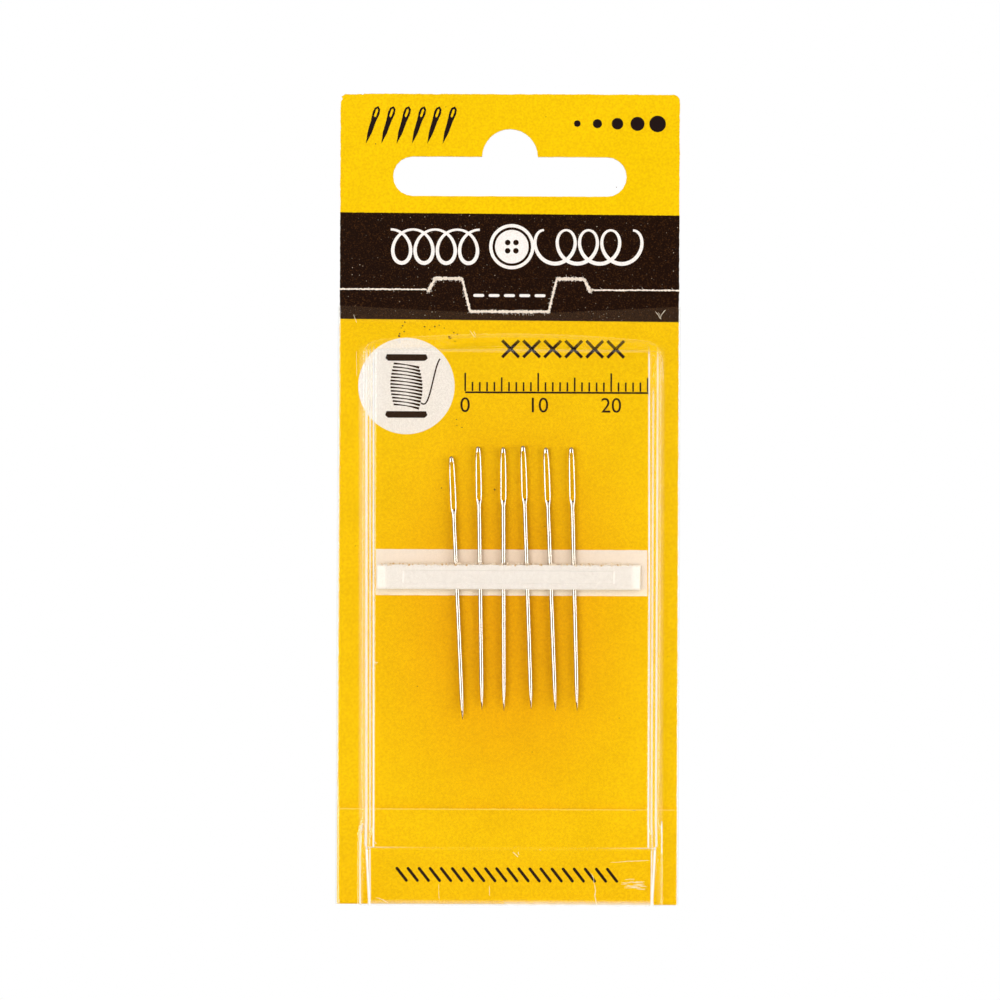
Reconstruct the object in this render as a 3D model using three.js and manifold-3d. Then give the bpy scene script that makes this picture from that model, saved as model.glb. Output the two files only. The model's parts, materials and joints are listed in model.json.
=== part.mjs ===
// A hanging card of six hand-sewing needles under a clear sliding cover.
// Millimetres, +Z up. The card hangs in the XZ plane and its printed front faces -Y.
// The origin is the peg's bearing point: the top of the hang slot, halfway through the board.
// Heights are written as a drop below the card's top edge.

import * as THREE from 'three';
import { mergeVertices } from 'three/addons/utils/BufferGeometryUtils.js';
import Module from 'manifold-3d';

const wasm = await Module();
wasm.setup();

// Board
const CARD_WIDTH = 46.5;
const CARD_HEIGHT = 111;
const BOARD_THICKNESS = 0.45;
const CARD_TOP_RADIUS = 0.9;
const FLAP_HEIGHT = 12.8;

// Hang slot
const SLOT_WIDTH = 32;
const SLOT_HEIGHT = 5.4;
const SLOT_DROP = 8.6;
const PEG_RADIUS = 3.8;

// Locking tongue, cut free on three sides across the crease
const CREASE_DROP = 26.8;
const SHOULDER_RISE = 1.6;
const SHOULDER_WIDTH = 3.8;
const SHOULDER_SLOPE = 0.9;
const TONGUE_REACH = 3.1;
const TONGUE_ROOT_WIDTH = 12.8;
const TONGUE_TIP_WIDTH = 10.6;
const KERF = 0.25;

// Sliding cover, formed from one clear sheet
const FILM = 0.2;
const SLIDE_GAP = 0.06;
const LIP_WIDTH = 4.5;
const COVER_TOP_GAP = 0.15;
const COVER_TOP_DIP = 1.1;
const FLANGE_WIDTH = 3.05;
const BUBBLE_SHIFT = 0.45;
const BUBBLE_TOP_MARGIN = 4.2;
const BUBBLE_DRAFT = 1.5;
const TOP_WALL_RUN = 1.2;
const BUBBLE_CORNER = 1.4;
// From the face down to the open mouth: a step, a ledge and a ramp that clears the cap bar
const STEP_RUN = 0.4;
const STEP_FALL = 1.1;
const LEDGE_HEIGHT = 1.1;
const RAMP_RISE = 6.3;
const RAMP_FALL = 1.15;
const MOUTH_CLEARANCE = 0.3;
const MOUTH_FLARE = 0.65;

// Needle holder: paper strip, soft foam and a white cap bar
const STRIP_HEIGHT = 6.3;
const STRIP_THICKNESS = 0.12;
const STRIP_MARGIN = 0.1;
const BAR_MARGIN = 0.6;
const BAR_SHIFT = -0.4;
const BAR_HEIGHT = 3.3;
const BAR_LOWER_MARGIN = 0.9;
const BAR_THICKNESS = 0.2;
const BAR_FOOT_WIDTH = 1.1;
const PLATEAU_INSET = 3.6;
const PLATEAU_EDGE = 0.75;
const PLATEAU_RISE = 0.12;
const FOAM_EDGE = 0.2;
const FOAM_END_GAP = 0.1;
const FOAM_SKIN = 0.14;

// Needles
const NEEDLE_COUNT = 6;
const NEEDLE_LENGTH = 35.9;
const SHAFT_DIAMETER = 0.62;
const EYE_WIDTH = 0.98;
const EYE_THICKNESS = 0.5;
const EYE_LENGTH = 8.6;
const EYE_FLAT_LENGTH = 4.3;
const EYE_CROWN = 0.55;
const CROWN_TIP_SHARE = 0.2;
const EYE_WALL = 0.24;
const HOLE_TOP = 0.75;
const HOLE_FOOT = 1.25;
const POINT_LENGTH = 8.5;
const POINT_DIAMETER = 0.06;
const POINT_CURVE = 1.4;
const NEEDLE_PITCH = 3.22;
const NEEDLE_ROW_SHIFT = 0.97;
const NEEDLE_SAG = 0.25;
const NEEDLE_GAP = 0.06;
// How each needle lies: its lean in degrees, point to the right, and how far it sits below the row.
// A longer row goes through the same lays again.
const NEEDLE_LAY = [
  { lean: 2.7, slip: 1.35 },
  { lean: 1.1, slip: 0 },
  { lean: 0.4, slip: 0.1 },
  { lean: 2.05, slip: -0.15 },
  { lean: 2.35, slip: 0.1 },
  { lean: 1.55, slip: 0.05 },
];

// Facets
const ARC_SEGMENTS = 10;
const CORNER_STEPS = 4;
const NEEDLE_SIDES = 10;
const CROWN_STEPS = 3;
const EYE_STEPS = 11;
const POINT_STEPS = 11;
const CUT_MARGIN = 1;
const WELD = 1e-5;

// Planes and places that several pieces share
const cardFront = -BOARD_THICKNESS / 2;
const cardBack = BOARD_THICKNESS / 2;
const pegDrop = SLOT_DROP - PEG_RADIUS;
const cardHalf = CARD_WIDTH / 2;
const flapFront = cardFront - BOARD_THICKNESS;
const flapDrop = CARD_HEIGHT - FLAP_HEIGHT;
const tongueRootDrop = CREASE_DROP - SHOULDER_RISE;
const tongueTipDrop = CREASE_DROP + TONGUE_REACH;
const coverTopDrop = tongueTipDrop + COVER_TOP_GAP - COVER_TOP_DIP;
const bubbleHalf = cardHalf - FLANGE_WIDTH;
const bubbleTopDrop = tongueTipDrop + BUBBLE_TOP_MARGIN;
const stripHalf = bubbleHalf - BUBBLE_DRAFT - STRIP_MARGIN;
const stripFront = cardFront - STRIP_THICKNESS;
const barHalf = stripHalf - BAR_MARGIN;
const barMiddle = BUBBLE_SHIFT + BAR_SHIFT;
const barMiddleDrop = (bubbleTopDrop + flapDrop) / 2;
const barTopDrop = barMiddleDrop - BAR_HEIGHT / 2;
const barBottomDrop = barMiddleDrop + BAR_HEIGHT / 2;
const stripBottomDrop = barBottomDrop + BAR_LOWER_MARGIN;
const grooveRadius = SHAFT_DIAMETER / 2 + NEEDLE_GAP;
const needleDepth = stripFront - grooveRadius;
const foamThickness = 2 * grooveRadius + FOAM_SKIN;
const foamFront = stripFront - foamThickness;
const barFront = foamFront - BAR_THICKNESS;
const plateauFront = barFront - PLATEAU_RISE;
const flangeBack = cardFront - SLIDE_GAP;
const mouthHeight = flangeBack - plateauFront + MOUTH_CLEARANCE + FILM;
const stepHeight = mouthHeight + RAMP_FALL;
const bubbleHeight = stepHeight + STEP_FALL;
const rampDrop = CARD_HEIGHT - RAMP_RISE;
const stepDrop = rampDrop - LEDGE_HEIGHT - STEP_RUN;
const needleRise = NEEDLE_LENGTH / 2 - NEEDLE_SAG;

function zAt(drop) {
  return pegDrop - drop;
}

// Solids

function toSolid(geometry) {
  const bare = geometry.clone();
  bare.deleteAttribute('normal');
  bare.deleteAttribute('uv');
  const merged = mergeVertices(bare, WELD);
  return new wasm.Manifold(new wasm.Mesh({
    numProp: 3,
    vertProperties: new Float32Array(merged.attributes.position.array),
    triVerts: new Uint32Array(merged.index.array),
  }));
}

function toGeometry(solid) {
  const mesh = solid.getMesh();
  const geometry = new THREE.BufferGeometry();
  geometry.setAttribute('position', new THREE.BufferAttribute(mesh.vertProperties, 3));
  geometry.setIndex(new THREE.BufferAttribute(mesh.triVerts, 1));
  geometry.computeVertexNormals();
  return geometry;
}

// A flat sheet with this outline in X and Z, whose back lies at backY and whose front is nearer -Y
function plate(outline, backY, thickness) {
  const geometry = new THREE.ExtrudeGeometry(outline, {
    depth: thickness,
    bevelEnabled: false,
    curveSegments: ARC_SEGMENTS,
  });
  geometry.rotateX(Math.PI / 2);
  geometry.translate(0, backY, 0);
  return geometry;
}

function block(halfWidth, backY, frontY, topDrop, bottomDrop, middleX = 0) {
  const outline = new THREE.Shape([
    new THREE.Vector2(middleX - halfWidth, zAt(bottomDrop)),
    new THREE.Vector2(middleX + halfWidth, zAt(bottomDrop)),
    new THREE.Vector2(middleX + halfWidth, zAt(topDrop)),
    new THREE.Vector2(middleX - halfWidth, zAt(topDrop)),
  ]);
  return plate(outline, backY, backY - frontY);
}

// Joins rings of equally many points into one closed skin, with a fan over each end
function loft(rings) {
  const sides = rings[0].length;
  const positions = rings.flat().flatMap((point) => [point.x, point.y, point.z]);
  const indices = [];
  for (let ring = 0; ring < rings.length - 1; ring += 1) {
    for (let side = 0; side < sides; side += 1) {
      const here = ring * sides + side;
      const next = ring * sides + ((side + 1) % sides);
      indices.push(here, next, here + sides);
      indices.push(next, next + sides, here + sides);
    }
  }
  const last = (rings.length - 1) * sides;
  for (let side = 1; side < sides - 1; side += 1) {
    indices.push(0, side + 1, side);
    indices.push(last, last + side, last + side + 1);
  }
  const geometry = new THREE.BufferGeometry();
  geometry.setAttribute('position', new THREE.Float32BufferAttribute(positions, 3));
  geometry.setIndex(indices);
  return geometry;
}

function finish(color, roughness, metalness = 0) {
  return new THREE.MeshStandardMaterial({ color, roughness, metalness });
}

function namedMesh(name, geometry, material) {
  const mesh = new THREE.Mesh(geometry, material);
  mesh.name = name;
  return mesh;
}

// Backing card

function cardOutline() {
  const top = zAt(0);
  const bottom = zAt(CARD_HEIGHT);
  const r = CARD_TOP_RADIUS;
  const outline = new THREE.Shape();
  outline.moveTo(-cardHalf, bottom);
  outline.lineTo(cardHalf, bottom);
  outline.lineTo(cardHalf, top - r);
  outline.absarc(cardHalf - r, top - r, r, 0, Math.PI / 2, false);
  outline.lineTo(-cardHalf + r, top);
  outline.absarc(-cardHalf + r, top - r, r, Math.PI / 2, Math.PI, false);
  outline.closePath();
  return outline;
}

function slotOutline() {
  const top = zAt(SLOT_DROP);
  const bottom = zAt(SLOT_DROP + SLOT_HEIGHT);
  const r = SLOT_HEIGHT / 2;
  const endX = SLOT_WIDTH / 2 - r;
  const middle = bottom + r;
  const hole = new THREE.Path();
  hole.moveTo(-endX, bottom);
  hole.lineTo(endX, bottom);
  hole.absarc(endX, middle, r, -Math.PI / 2, Math.PI / 2, false);
  hole.lineTo(PEG_RADIUS, top);
  hole.absarc(0, top, PEG_RADIUS, 0, Math.PI, false);
  hole.lineTo(-endX, top);
  hole.absarc(-endX, middle, r, Math.PI / 2, 1.5 * Math.PI, false);
  return hole;
}

// Half the window's width at a drop between the tongue's root and its tip
function windowHalfAt(drop) {
  const share = (drop - tongueRootDrop) / (tongueTipDrop - tongueRootDrop);
  return THREE.MathUtils.lerp(TONGUE_ROOT_WIDTH / 2, TONGUE_TIP_WIDTH / 2, share);
}

// The tongue's window, with the two shoulder cuts that run out from its root to the crease
function windowOutline() {
  const shoulder = TONGUE_ROOT_WIDTH / 2 + SHOULDER_WIDTH;
  const cutFoot = tongueRootDrop + KERF;
  const right = [
    [shoulder, tongueRootDrop],
    [shoulder + SHOULDER_SLOPE, CREASE_DROP],
    [shoulder + SHOULDER_SLOPE - KERF, CREASE_DROP],
    [shoulder - KERF, cutFoot],
    [windowHalfAt(cutFoot), cutFoot],
    [windowHalfAt(tongueTipDrop), tongueTipDrop],
  ];
  const left = right.map(([x, drop]) => [-x, drop]).reverse();
  return new THREE.Path([...right, ...left].map(([x, drop]) => new THREE.Vector2(x, zAt(drop))));
}

function backingCard() {
  const outline = cardOutline();
  outline.holes.push(slotOutline(), windowOutline());
  const board = toSolid(plate(outline, cardBack, BOARD_THICKNESS));
  const flap = toSolid(block(cardHalf, 0, flapFront, flapDrop, CARD_HEIGHT));
  return namedMesh('backing_card', toGeometry(board.add(flap)), finish(0xfbcd02, 0.45));
}

function lockTongue() {
  const rootDrop = tongueRootDrop + KERF;
  const tipDrop = tongueTipDrop - KERF;
  const rootHalf = windowHalfAt(rootDrop) - KERF;
  const tipHalf = windowHalfAt(tipDrop) - KERF;
  const outline = new THREE.Shape([
    new THREE.Vector2(-tipHalf, zAt(tipDrop)),
    new THREE.Vector2(tipHalf, zAt(tipDrop)),
    new THREE.Vector2(rootHalf, zAt(rootDrop)),
    new THREE.Vector2(-rootHalf, zAt(rootDrop)),
  ]);
  return namedMesh('lock_tongue', plate(outline, cardBack, BOARD_THICKNESS), finish(0x24120a, 0.5));
}

// Sliding cover

// One slice of the bubble across the pack: a trapezoid from the flange out to the face
function bubbleSlice(drop, baseHalf, height, backY) {
  const drawnIn = (BUBBLE_DRAFT * height) / bubbleHeight;
  const frontY = flangeBack - height;
  const z = zAt(drop);
  return [
    new THREE.Vector3(BUBBLE_SHIFT + baseHalf, backY, z),
    new THREE.Vector3(BUBBLE_SHIFT + baseHalf - drawnIn, frontY, z),
    new THREE.Vector3(BUBBLE_SHIFT - baseHalf + drawnIn, frontY, z),
    new THREE.Vector3(BUBBLE_SHIFT - baseHalf, backY, z),
  ];
}

// The bubble from its round upper corners down to its open mouth, drawn in by the sheet's
// thickness for the inner skin
function bubble(inset, backY, pastMouth) {
  const lowest = FILM / 2;
  const half = bubbleHalf - inset;
  const heightAt = (full) => Math.max(full - inset, lowest);
  const slices = [];
  for (let step = 0; step <= CORNER_STEPS; step += 1) {
    const turn = (step / CORNER_STEPS) * (Math.PI / 2);
    const below = BUBBLE_CORNER * (1 - Math.cos(turn));
    const narrower = BUBBLE_CORNER * (1 - Math.sin(turn));
    const rise = Math.min(1, below / TOP_WALL_RUN);
    const height = Math.max(heightAt(bubbleHeight) * rise, lowest);
    slices.push(bubbleSlice(bubbleTopDrop + inset + below, half - narrower, height, backY));
  }
  if (TOP_WALL_RUN > BUBBLE_CORNER) {
    slices.push(bubbleSlice(bubbleTopDrop + inset + TOP_WALL_RUN, half, heightAt(bubbleHeight), backY));
  }
  const flared = half + MOUTH_FLARE;
  slices.push(bubbleSlice(stepDrop, half, heightAt(bubbleHeight), backY));
  slices.push(bubbleSlice(stepDrop + STEP_RUN, half, heightAt(stepHeight), backY));
  slices.push(bubbleSlice(rampDrop, flared, heightAt(stepHeight), backY));
  slices.push(bubbleSlice(CARD_HEIGHT, flared, heightAt(mouthHeight), backY));
  if (pastMouth > 0) {
    slices.push(bubbleSlice(CARD_HEIGHT + pastMouth, flared, heightAt(mouthHeight), backY));
  }
  return loft(slices);
}

// The scoop out of the sheet's upper edge, which dips to the tongue's tip
function topScoop() {
  const side = cardHalf + SLIDE_GAP + FILM + CUT_MARGIN;
  const outline = new THREE.Shape();
  outline.moveTo(-side, zAt(coverTopDrop));
  outline.quadraticCurveTo(0, zAt(coverTopDrop + 2 * COVER_TOP_DIP), side, zAt(coverTopDrop));
  outline.lineTo(side, zAt(coverTopDrop - CUT_MARGIN));
  outline.lineTo(-side, zAt(coverTopDrop - CUT_MARGIN));
  const depth = 2 * bubbleHeight;
  return plate(outline, depth / 2, depth);
}

function slideCover() {
  const slotHalf = cardHalf + SLIDE_GAP;
  const slotBack = cardBack + SLIDE_GAP;
  const flapSlotFront = flapFront - SLIDE_GAP;
  const flapSlotDrop = flapDrop - SLIDE_GAP;
  const past = CARD_HEIGHT + CUT_MARGIN;
  const above = coverTopDrop - CUT_MARGIN;

  const outer = [
    block(slotHalf + FILM, slotBack + FILM, flangeBack - FILM, coverTopDrop, CARD_HEIGHT),
    block(slotHalf + FILM, slotBack, flapSlotFront - FILM, flapSlotDrop - FILM, CARD_HEIGHT),
    bubble(0, flangeBack, 0),
  ];
  const hollow = [
    block(slotHalf, slotBack, flangeBack, above, past),
    block(slotHalf, slotBack, flapSlotFront, flapSlotDrop, past),
    block(cardHalf - LIP_WIDTH, slotBack + FILM + CUT_MARGIN, 0, above, past),
    bubble(FILM, 0, CUT_MARGIN),
    topScoop(),
  ];
  const sheet = outer.map(toSolid).reduce((whole, piece) => whole.add(piece));
  const shell = hollow.map(toSolid).reduce((whole, piece) => whole.subtract(piece), sheet);
  const clear = finish(0xf4f6f2, 0.08);
  clear.transparent = true;
  clear.opacity = 0.25;
  return namedMesh('slide_cover', toGeometry(shell), clear);
}

// Needle holder

function baseStrip() {
  const topDrop = stripBottomDrop - STRIP_HEIGHT;
  const geometry = block(stripHalf, cardFront, stripFront, topDrop, stripBottomDrop, BUBBLE_SHIFT);
  return namedMesh('base_strip', geometry, finish(0xf8e8d4, 0.8));
}

// A needle's place: where it crosses the middle of the bar, and its turn in the card's plane
function needlePlace(index) {
  const { lean, slip } = NEEDLE_LAY[index % NEEDLE_LAY.length];
  const place = new THREE.Object3D();
  const column = index - (NEEDLE_COUNT - 1) / 2;
  place.position.set(NEEDLE_ROW_SHIFT + column * NEEDLE_PITCH, needleDepth, zAt(barMiddleDrop));
  place.rotation.y = -THREE.MathUtils.degToRad(lean);
  place.translateZ(-slip);
  place.updateMatrix();
  return place;
}

function gripFoam() {
  const half = barHalf - BAR_FOOT_WIDTH - FOAM_END_GAP;
  const top = barTopDrop + FOAM_EDGE;
  const bottom = barBottomDrop - FOAM_EDGE;
  let foam = toSolid(block(half, stripFront, foamFront, top, bottom, barMiddle));
  for (let index = 0; index < NEEDLE_COUNT; index += 1) {
    const length = 2 * BAR_HEIGHT;
    const groove = new THREE.CylinderGeometry(grooveRadius, grooveRadius, length, NEEDLE_SIDES);
    groove.rotateX(Math.PI / 2);
    const relief = new THREE.BoxGeometry(2 * grooveRadius, 2 * grooveRadius, length);
    relief.translate(0, grooveRadius, 0);
    const place = needlePlace(index);
    foam = foam.subtract(toSolid(groove.applyMatrix4(place.matrix)));
    foam = foam.subtract(toSolid(relief.applyMatrix4(place.matrix)));
  }
  return namedMesh('grip_foam', toGeometry(foam), finish(0xefe7d8, 0.9));
}

// The cap bar: a flat web over the foam, a raised plateau along it and a foot at each end
function retainingBar() {
  const web = block(barHalf, foamFront, barFront, barTopDrop, barBottomDrop, barMiddle);
  const plateau = block(
    barHalf - PLATEAU_INSET,
    foamFront,
    plateauFront,
    barTopDrop + PLATEAU_EDGE,
    barBottomDrop - PLATEAU_EDGE,
    barMiddle,
  );
  let bar = toSolid(web).add(toSolid(plateau));
  for (const side of [-1, 1]) {
    const footX = barMiddle + side * (barHalf - BAR_FOOT_WIDTH / 2);
    const foot = block(BAR_FOOT_WIDTH / 2, stripFront, barFront, barTopDrop, barBottomDrop, footX);
    bar = bar.add(toSolid(foot));
  }
  return namedMesh('retaining_bar', toGeometry(bar), finish(0xf7f0e4, 0.55));
}

// Needles

// Half width and half thickness of a needle at a distance below its eye end
function needleSection(distance) {
  const shaft = SHAFT_DIAMETER / 2;
  const along = THREE.MathUtils.clamp(distance / EYE_LENGTH, 0, 1);
  const bulge = Math.sin(Math.PI * Math.sqrt(along));
  const flat = 1 - THREE.MathUtils.smoothstep(distance, EYE_FLAT_LENGTH, EYE_LENGTH);
  let width = shaft + (EYE_WIDTH / 2 - shaft) * bulge;
  let depth = shaft + (EYE_THICKNESS / 2 - shaft) * flat;
  if (distance < EYE_CROWN) {
    const crown = Math.max(Math.sqrt(1 - (1 - distance / EYE_CROWN) ** 2), CROWN_TIP_SHARE);
    width *= crown;
    depth *= crown;
  }
  const intoPoint = (distance - (NEEDLE_LENGTH - POINT_LENGTH)) / POINT_LENGTH;
  if (intoPoint > 0) {
    const taper = THREE.MathUtils.lerp(1, POINT_DIAMETER / SHAFT_DIAMETER, intoPoint ** POINT_CURVE);
    width *= taper;
    depth *= taper;
  }
  return { width, depth };
}

// The distances below the eye end at which a needle's section is drawn
function needleStations() {
  const stations = [];
  for (let step = 0; step < CROWN_STEPS; step += 1) {
    stations.push(EYE_CROWN * (step / CROWN_STEPS) ** 2);
  }
  for (let step = 0; step <= EYE_STEPS; step += 1) {
    stations.push(THREE.MathUtils.lerp(EYE_CROWN, EYE_LENGTH, step / EYE_STEPS));
  }
  for (let step = 0; step <= POINT_STEPS; step += 1) {
    stations.push(NEEDLE_LENGTH - POINT_LENGTH * (1 - step / POINT_STEPS));
  }
  return stations;
}

function needleGeometry() {
  const rings = needleStations().map((distance) => {
    const { width, depth } = needleSection(distance);
    const ring = [];
    for (let side = 0; side < NEEDLE_SIDES; side += 1) {
      const turn = (side / NEEDLE_SIDES) * 2 * Math.PI;
      const z = needleRise - distance;
      ring.push(new THREE.Vector3(width * Math.cos(turn), -depth * Math.sin(turn), z));
    }
    return ring;
  });
  const r = EYE_WIDTH / 2 - EYE_WALL;
  const holeTop = needleRise - HOLE_TOP;
  const holeBottom = needleRise - EYE_LENGTH + HOLE_FOOT;
  const hole = new THREE.Shape();
  hole.moveTo(r, holeBottom + r);
  hole.lineTo(r, holeTop - r);
  hole.absarc(0, holeTop - r, r, 0, Math.PI, false);
  hole.lineTo(-r, holeBottom + r);
  hole.absarc(0, holeBottom + r, r, Math.PI, 2 * Math.PI, false);
  const punch = plate(hole, EYE_WIDTH, 2 * EYE_WIDTH);
  return toGeometry(toSolid(loft(rings)).subtract(toSolid(punch)));
}

function needles() {
  const geometry = needleGeometry();
  const row = [];
  for (let index = 0; index < NEEDLE_COUNT; index += 1) {
    const needle = namedMesh(`needle_${index + 1}`, geometry, finish(0xd9d6d0, 0.18, 1));
    const place = needlePlace(index);
    needle.position.copy(place.position);
    needle.rotation.copy(place.rotation);
    row.push(needle);
  }
  return row;
}

const needlePack = new THREE.Group();
needlePack.add(backingCard(), lockTongue(), slideCover());
needlePack.add(baseStrip(), gripFoam(), retainingBar(), ...needles());

export default needlePack;
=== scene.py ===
"""Dresses a hanging card of hand-sewing needles: printed board, clear formed cover, holder and needles."""

import json
import math

import bmesh
import bpy
import numpy as np
from mathutils import Matrix, Vector, noise


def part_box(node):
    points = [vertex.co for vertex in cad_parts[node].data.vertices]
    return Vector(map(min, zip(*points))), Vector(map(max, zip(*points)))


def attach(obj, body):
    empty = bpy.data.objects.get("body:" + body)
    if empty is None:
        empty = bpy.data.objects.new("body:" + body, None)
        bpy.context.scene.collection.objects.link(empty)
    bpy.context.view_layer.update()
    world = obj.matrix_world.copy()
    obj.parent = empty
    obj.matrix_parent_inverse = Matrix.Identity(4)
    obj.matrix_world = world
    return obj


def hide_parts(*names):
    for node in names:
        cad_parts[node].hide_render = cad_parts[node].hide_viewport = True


bl_info = {
    "name": "Needle pack",
    "version": (1, 0, 0),
    "blender": (4, 5, 0),
    "location": "View3D > Sidebar > Needle pack",
    "description": "Builds a hanging card of sewing needles under a clear sliding cover",
    "category": "Object",
}

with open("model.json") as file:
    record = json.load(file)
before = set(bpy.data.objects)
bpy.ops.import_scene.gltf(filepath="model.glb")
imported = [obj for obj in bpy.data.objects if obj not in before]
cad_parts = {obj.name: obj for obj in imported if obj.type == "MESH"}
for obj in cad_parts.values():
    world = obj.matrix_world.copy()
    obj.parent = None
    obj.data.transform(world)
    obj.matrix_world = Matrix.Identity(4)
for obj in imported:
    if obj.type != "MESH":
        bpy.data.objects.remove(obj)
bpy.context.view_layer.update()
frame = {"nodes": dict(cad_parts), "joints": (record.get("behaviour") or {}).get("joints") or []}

MM = 0.001

# Without a seed of its own, noise_vector starts from the clock
noise.seed_set(7)

# Places that come from the frame
CARD_LOW, CARD_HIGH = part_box("backing_card")
COVER_LOW, COVER_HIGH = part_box("slide_cover")
STRIP_LOW, STRIP_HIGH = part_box("base_strip")
BAR_LOW, BAR_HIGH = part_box("retaining_bar")
TONGUE_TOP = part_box("lock_tongue")[1].z
NEEDLE_NODES = sorted(name for name in frame["nodes"] if name.startswith("needle_"))
BOARD = 2 * CARD_HIGH.y
FRONT, BACK = -CARD_HIGH.y, CARD_HIGH.y
FLAP_FRONT = CARD_LOW.y
CARD_MIDDLE = (CARD_LOW.z + CARD_HIGH.z) / 2
CARD_TALL = CARD_HIGH.z - CARD_LOW.z
FOLD_DROP = CARD_TALL - BOARD
BAR_MIDDLE, BAR_HALF = (BAR_LOW.x + BAR_HIGH.x) / 2, (BAR_HIGH.x - BAR_LOW.x) / 2

# How far the bar's pressed panel keeps from the bar's ends, and the sheet's thickness
BAR_INSET, BAR_SHEET = 3.6 * MM, 0.2 * MM

# The photograph's frame
PIXELS = 1000
PIXELS_PER_METRE = 7300
CARD_MIDDLE_PIXEL = (508.5, 499.2)
PACK_TURN = math.radians(0.25)


def linear(hex_colour):
    """An sRGB hex value such as "fbcd02" as linear RGBA."""
    parts = [int(hex_colour[i:i + 2], 16) / 255 for i in (0, 2, 4)]
    return tuple(p / 12.92 if p <= 0.04045 else ((p + 0.055) / 1.055) ** 2.4 for p in parts) + (1.0,)


def length(label, note, metres):
    """A property that holds a size."""
    return bpy.props.FloatProperty(
        name=label, description=note, default=metres, precision=5, subtype="DISTANCE", unit="LENGTH"
    )


def colour(label, note, hex_colour):
    """A property that holds a colour."""
    return bpy.props.FloatVectorProperty(
        name=label, description=note, default=linear(hex_colour), size=4, min=0.0, max=1.0, subtype="COLOR"
    )


class NeedlePackSizes(bpy.types.PropertyGroup):
    """Sizes of the dressed pack that the frame doesn't give"""

    flap_drop: length("Flap edge", "How far the folded flap's edge lies below the card's top", 98.0 * MM)
    band_top: length("Band top", "Drop of the dark band's upper edge", 16.36 * MM)
    band_foot: length("Band foot", "Drop of the dark band's lower edge", 30.97 * MM)
    crease_drop: length("Crease", "Drop of the fold line across the board", 26.8 * MM)
    root_drop: length("Tongue root", "Drop of the tongue's root and of the shoulder cuts", 25.2 * MM)
    tip_drop: length("Tongue tip", "Drop of the tongue's tip", 29.9 * MM)
    root_half: length("Root half width", "Half the tongue's width at its root", 6.4 * MM)
    tip_half: length("Tip half width", "Half the tongue's width at its tip", 5.3 * MM)
    shoulder: length("Shoulder", "Length of each shoulder cut beside the root", 3.8 * MM)
    shoulder_slope: length("Shoulder slope", "Run of the slanted end of a shoulder cut", 0.9 * MM)
    kerf: length("Kerf", "Width of the die cut", 0.1 * MM)
    film: length("Film", "Thickness of the clear sheet", 0.2 * MM)
    lip: length("Lip", "How far the cover's lips reach in behind the card", 4.5 * MM)
    bubble_half: length("Bubble half width", "Half the bubble's width at the flange", 20.2 * MM)
    bubble_shift: length("Bubble shift", "How far the bubble sits right of the card's middle", 0.45 * MM)
    bubble_top: length("Bubble top", "Drop of the bubble's upper foot line at its sides", 34.1 * MM)
    bubble_arch: length("Bubble arch", "How far that foot line bows up in the middle", 1.0 * MM)
    face_top: length("Face top", "Drop of the bubble face's upper edge", 35.25 * MM)
    draft: length("Draft", "Run of a side wall from flange to face", 1.5 * MM)
    step_drop: length("Step", "Drop of the step near the foot", 102.8 * MM)
    step_fall: length("Step fall", "How far the step comes down", 1.1 * MM)
    ramp_drop: length("Ramp", "Drop at which the ramp to the mouth begins", 104.7 * MM)
    ramp_fall: length("Ramp fall", "How far the ramp comes down", 1.15 * MM)
    flare: length("Flare", "How far the walls spread at the mouth", 0.65 * MM)
    bend: length("Bend", "Half the run over which the sheet turns at a bend", 0.24 * MM)
    eye_width: length("Eye width", "Width of a needle across its eye", 0.88 * MM)
    shaft: length("Shaft", "Diameter of a needle's shaft", 0.64 * MM)
    eye_thickness: length("Eye thickness", "Thickness of a needle at its eye", 0.36 * MM)
    eye_length: length("Eye length", "Length of the flattened eye end", 8.6 * MM)
    eye_wall: length("Eye wall", "Width of the steel beside the eye", 0.175 * MM)
    point_length: length("Point", "Length of the tapered point", 6.0 * MM)
    ink: length("Ink", "How far printed ink stands off the board", 0.02 * MM)


class NeedlePackColours(bpy.types.PropertyGroup):
    """Colours of the dressed pack"""

    yellow: colour("Header yellow", "Ink of the header, the back and the card's sides", "f2ca02")
    # Painted shadow: this tone stands for the soft shadow of the needles and the bar on the panel, not for a deeper
    # ink
    needle_shadow_tone: colour("Panel shade", "Ink of the panel behind the needles", "f0ae02")
    panel: colour("Panel yellow", "Ink of the panel under the cover", "f8cc02")
    band: colour("Band", "Ink of the dark band", "1a0a03")
    black: colour("Black ink", "Ink of the printed marks", "1c1010")
    fleck: colour("Fleck", "Flecks of dark ink on the yellow and brown grain in the band", "6a4420")
    core: colour("Board core", "Pulp at the board's cut edges", "d9c7a6")
    paper: colour("Strip paper", "Paper behind the needles", "f9f0e5")
    # Painted shadow: the strip's tone where the row of needles shades it
    strip_painted_shadow: colour("Strip shade", "The strip behind the row of needles", "f4e3d0")
    bar: colour("Bar", "White formed bar", "f6f7f7")
    foam: colour("Foam", "Foam under the bar", "efe6d6")
    crumb: colour("Crumb", "Crumbs of foam", "fff3e0")
    steel: colour("Nickel", "Plating of the needles", "cac4bc")
    film: colour("Clear film", "Tint of the clear sheet", "fefefd")


# Small helpers


def sizes():
    return bpy.context.scene.needle_pack_sizes


def colours():
    return bpy.context.scene.needle_pack_colours


def spot(x, drop, y):
    """A point x right of the card's middle, drop below its top edge and at this depth."""
    return Vector((x, y, CARD_HIGH.z - drop))


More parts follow.
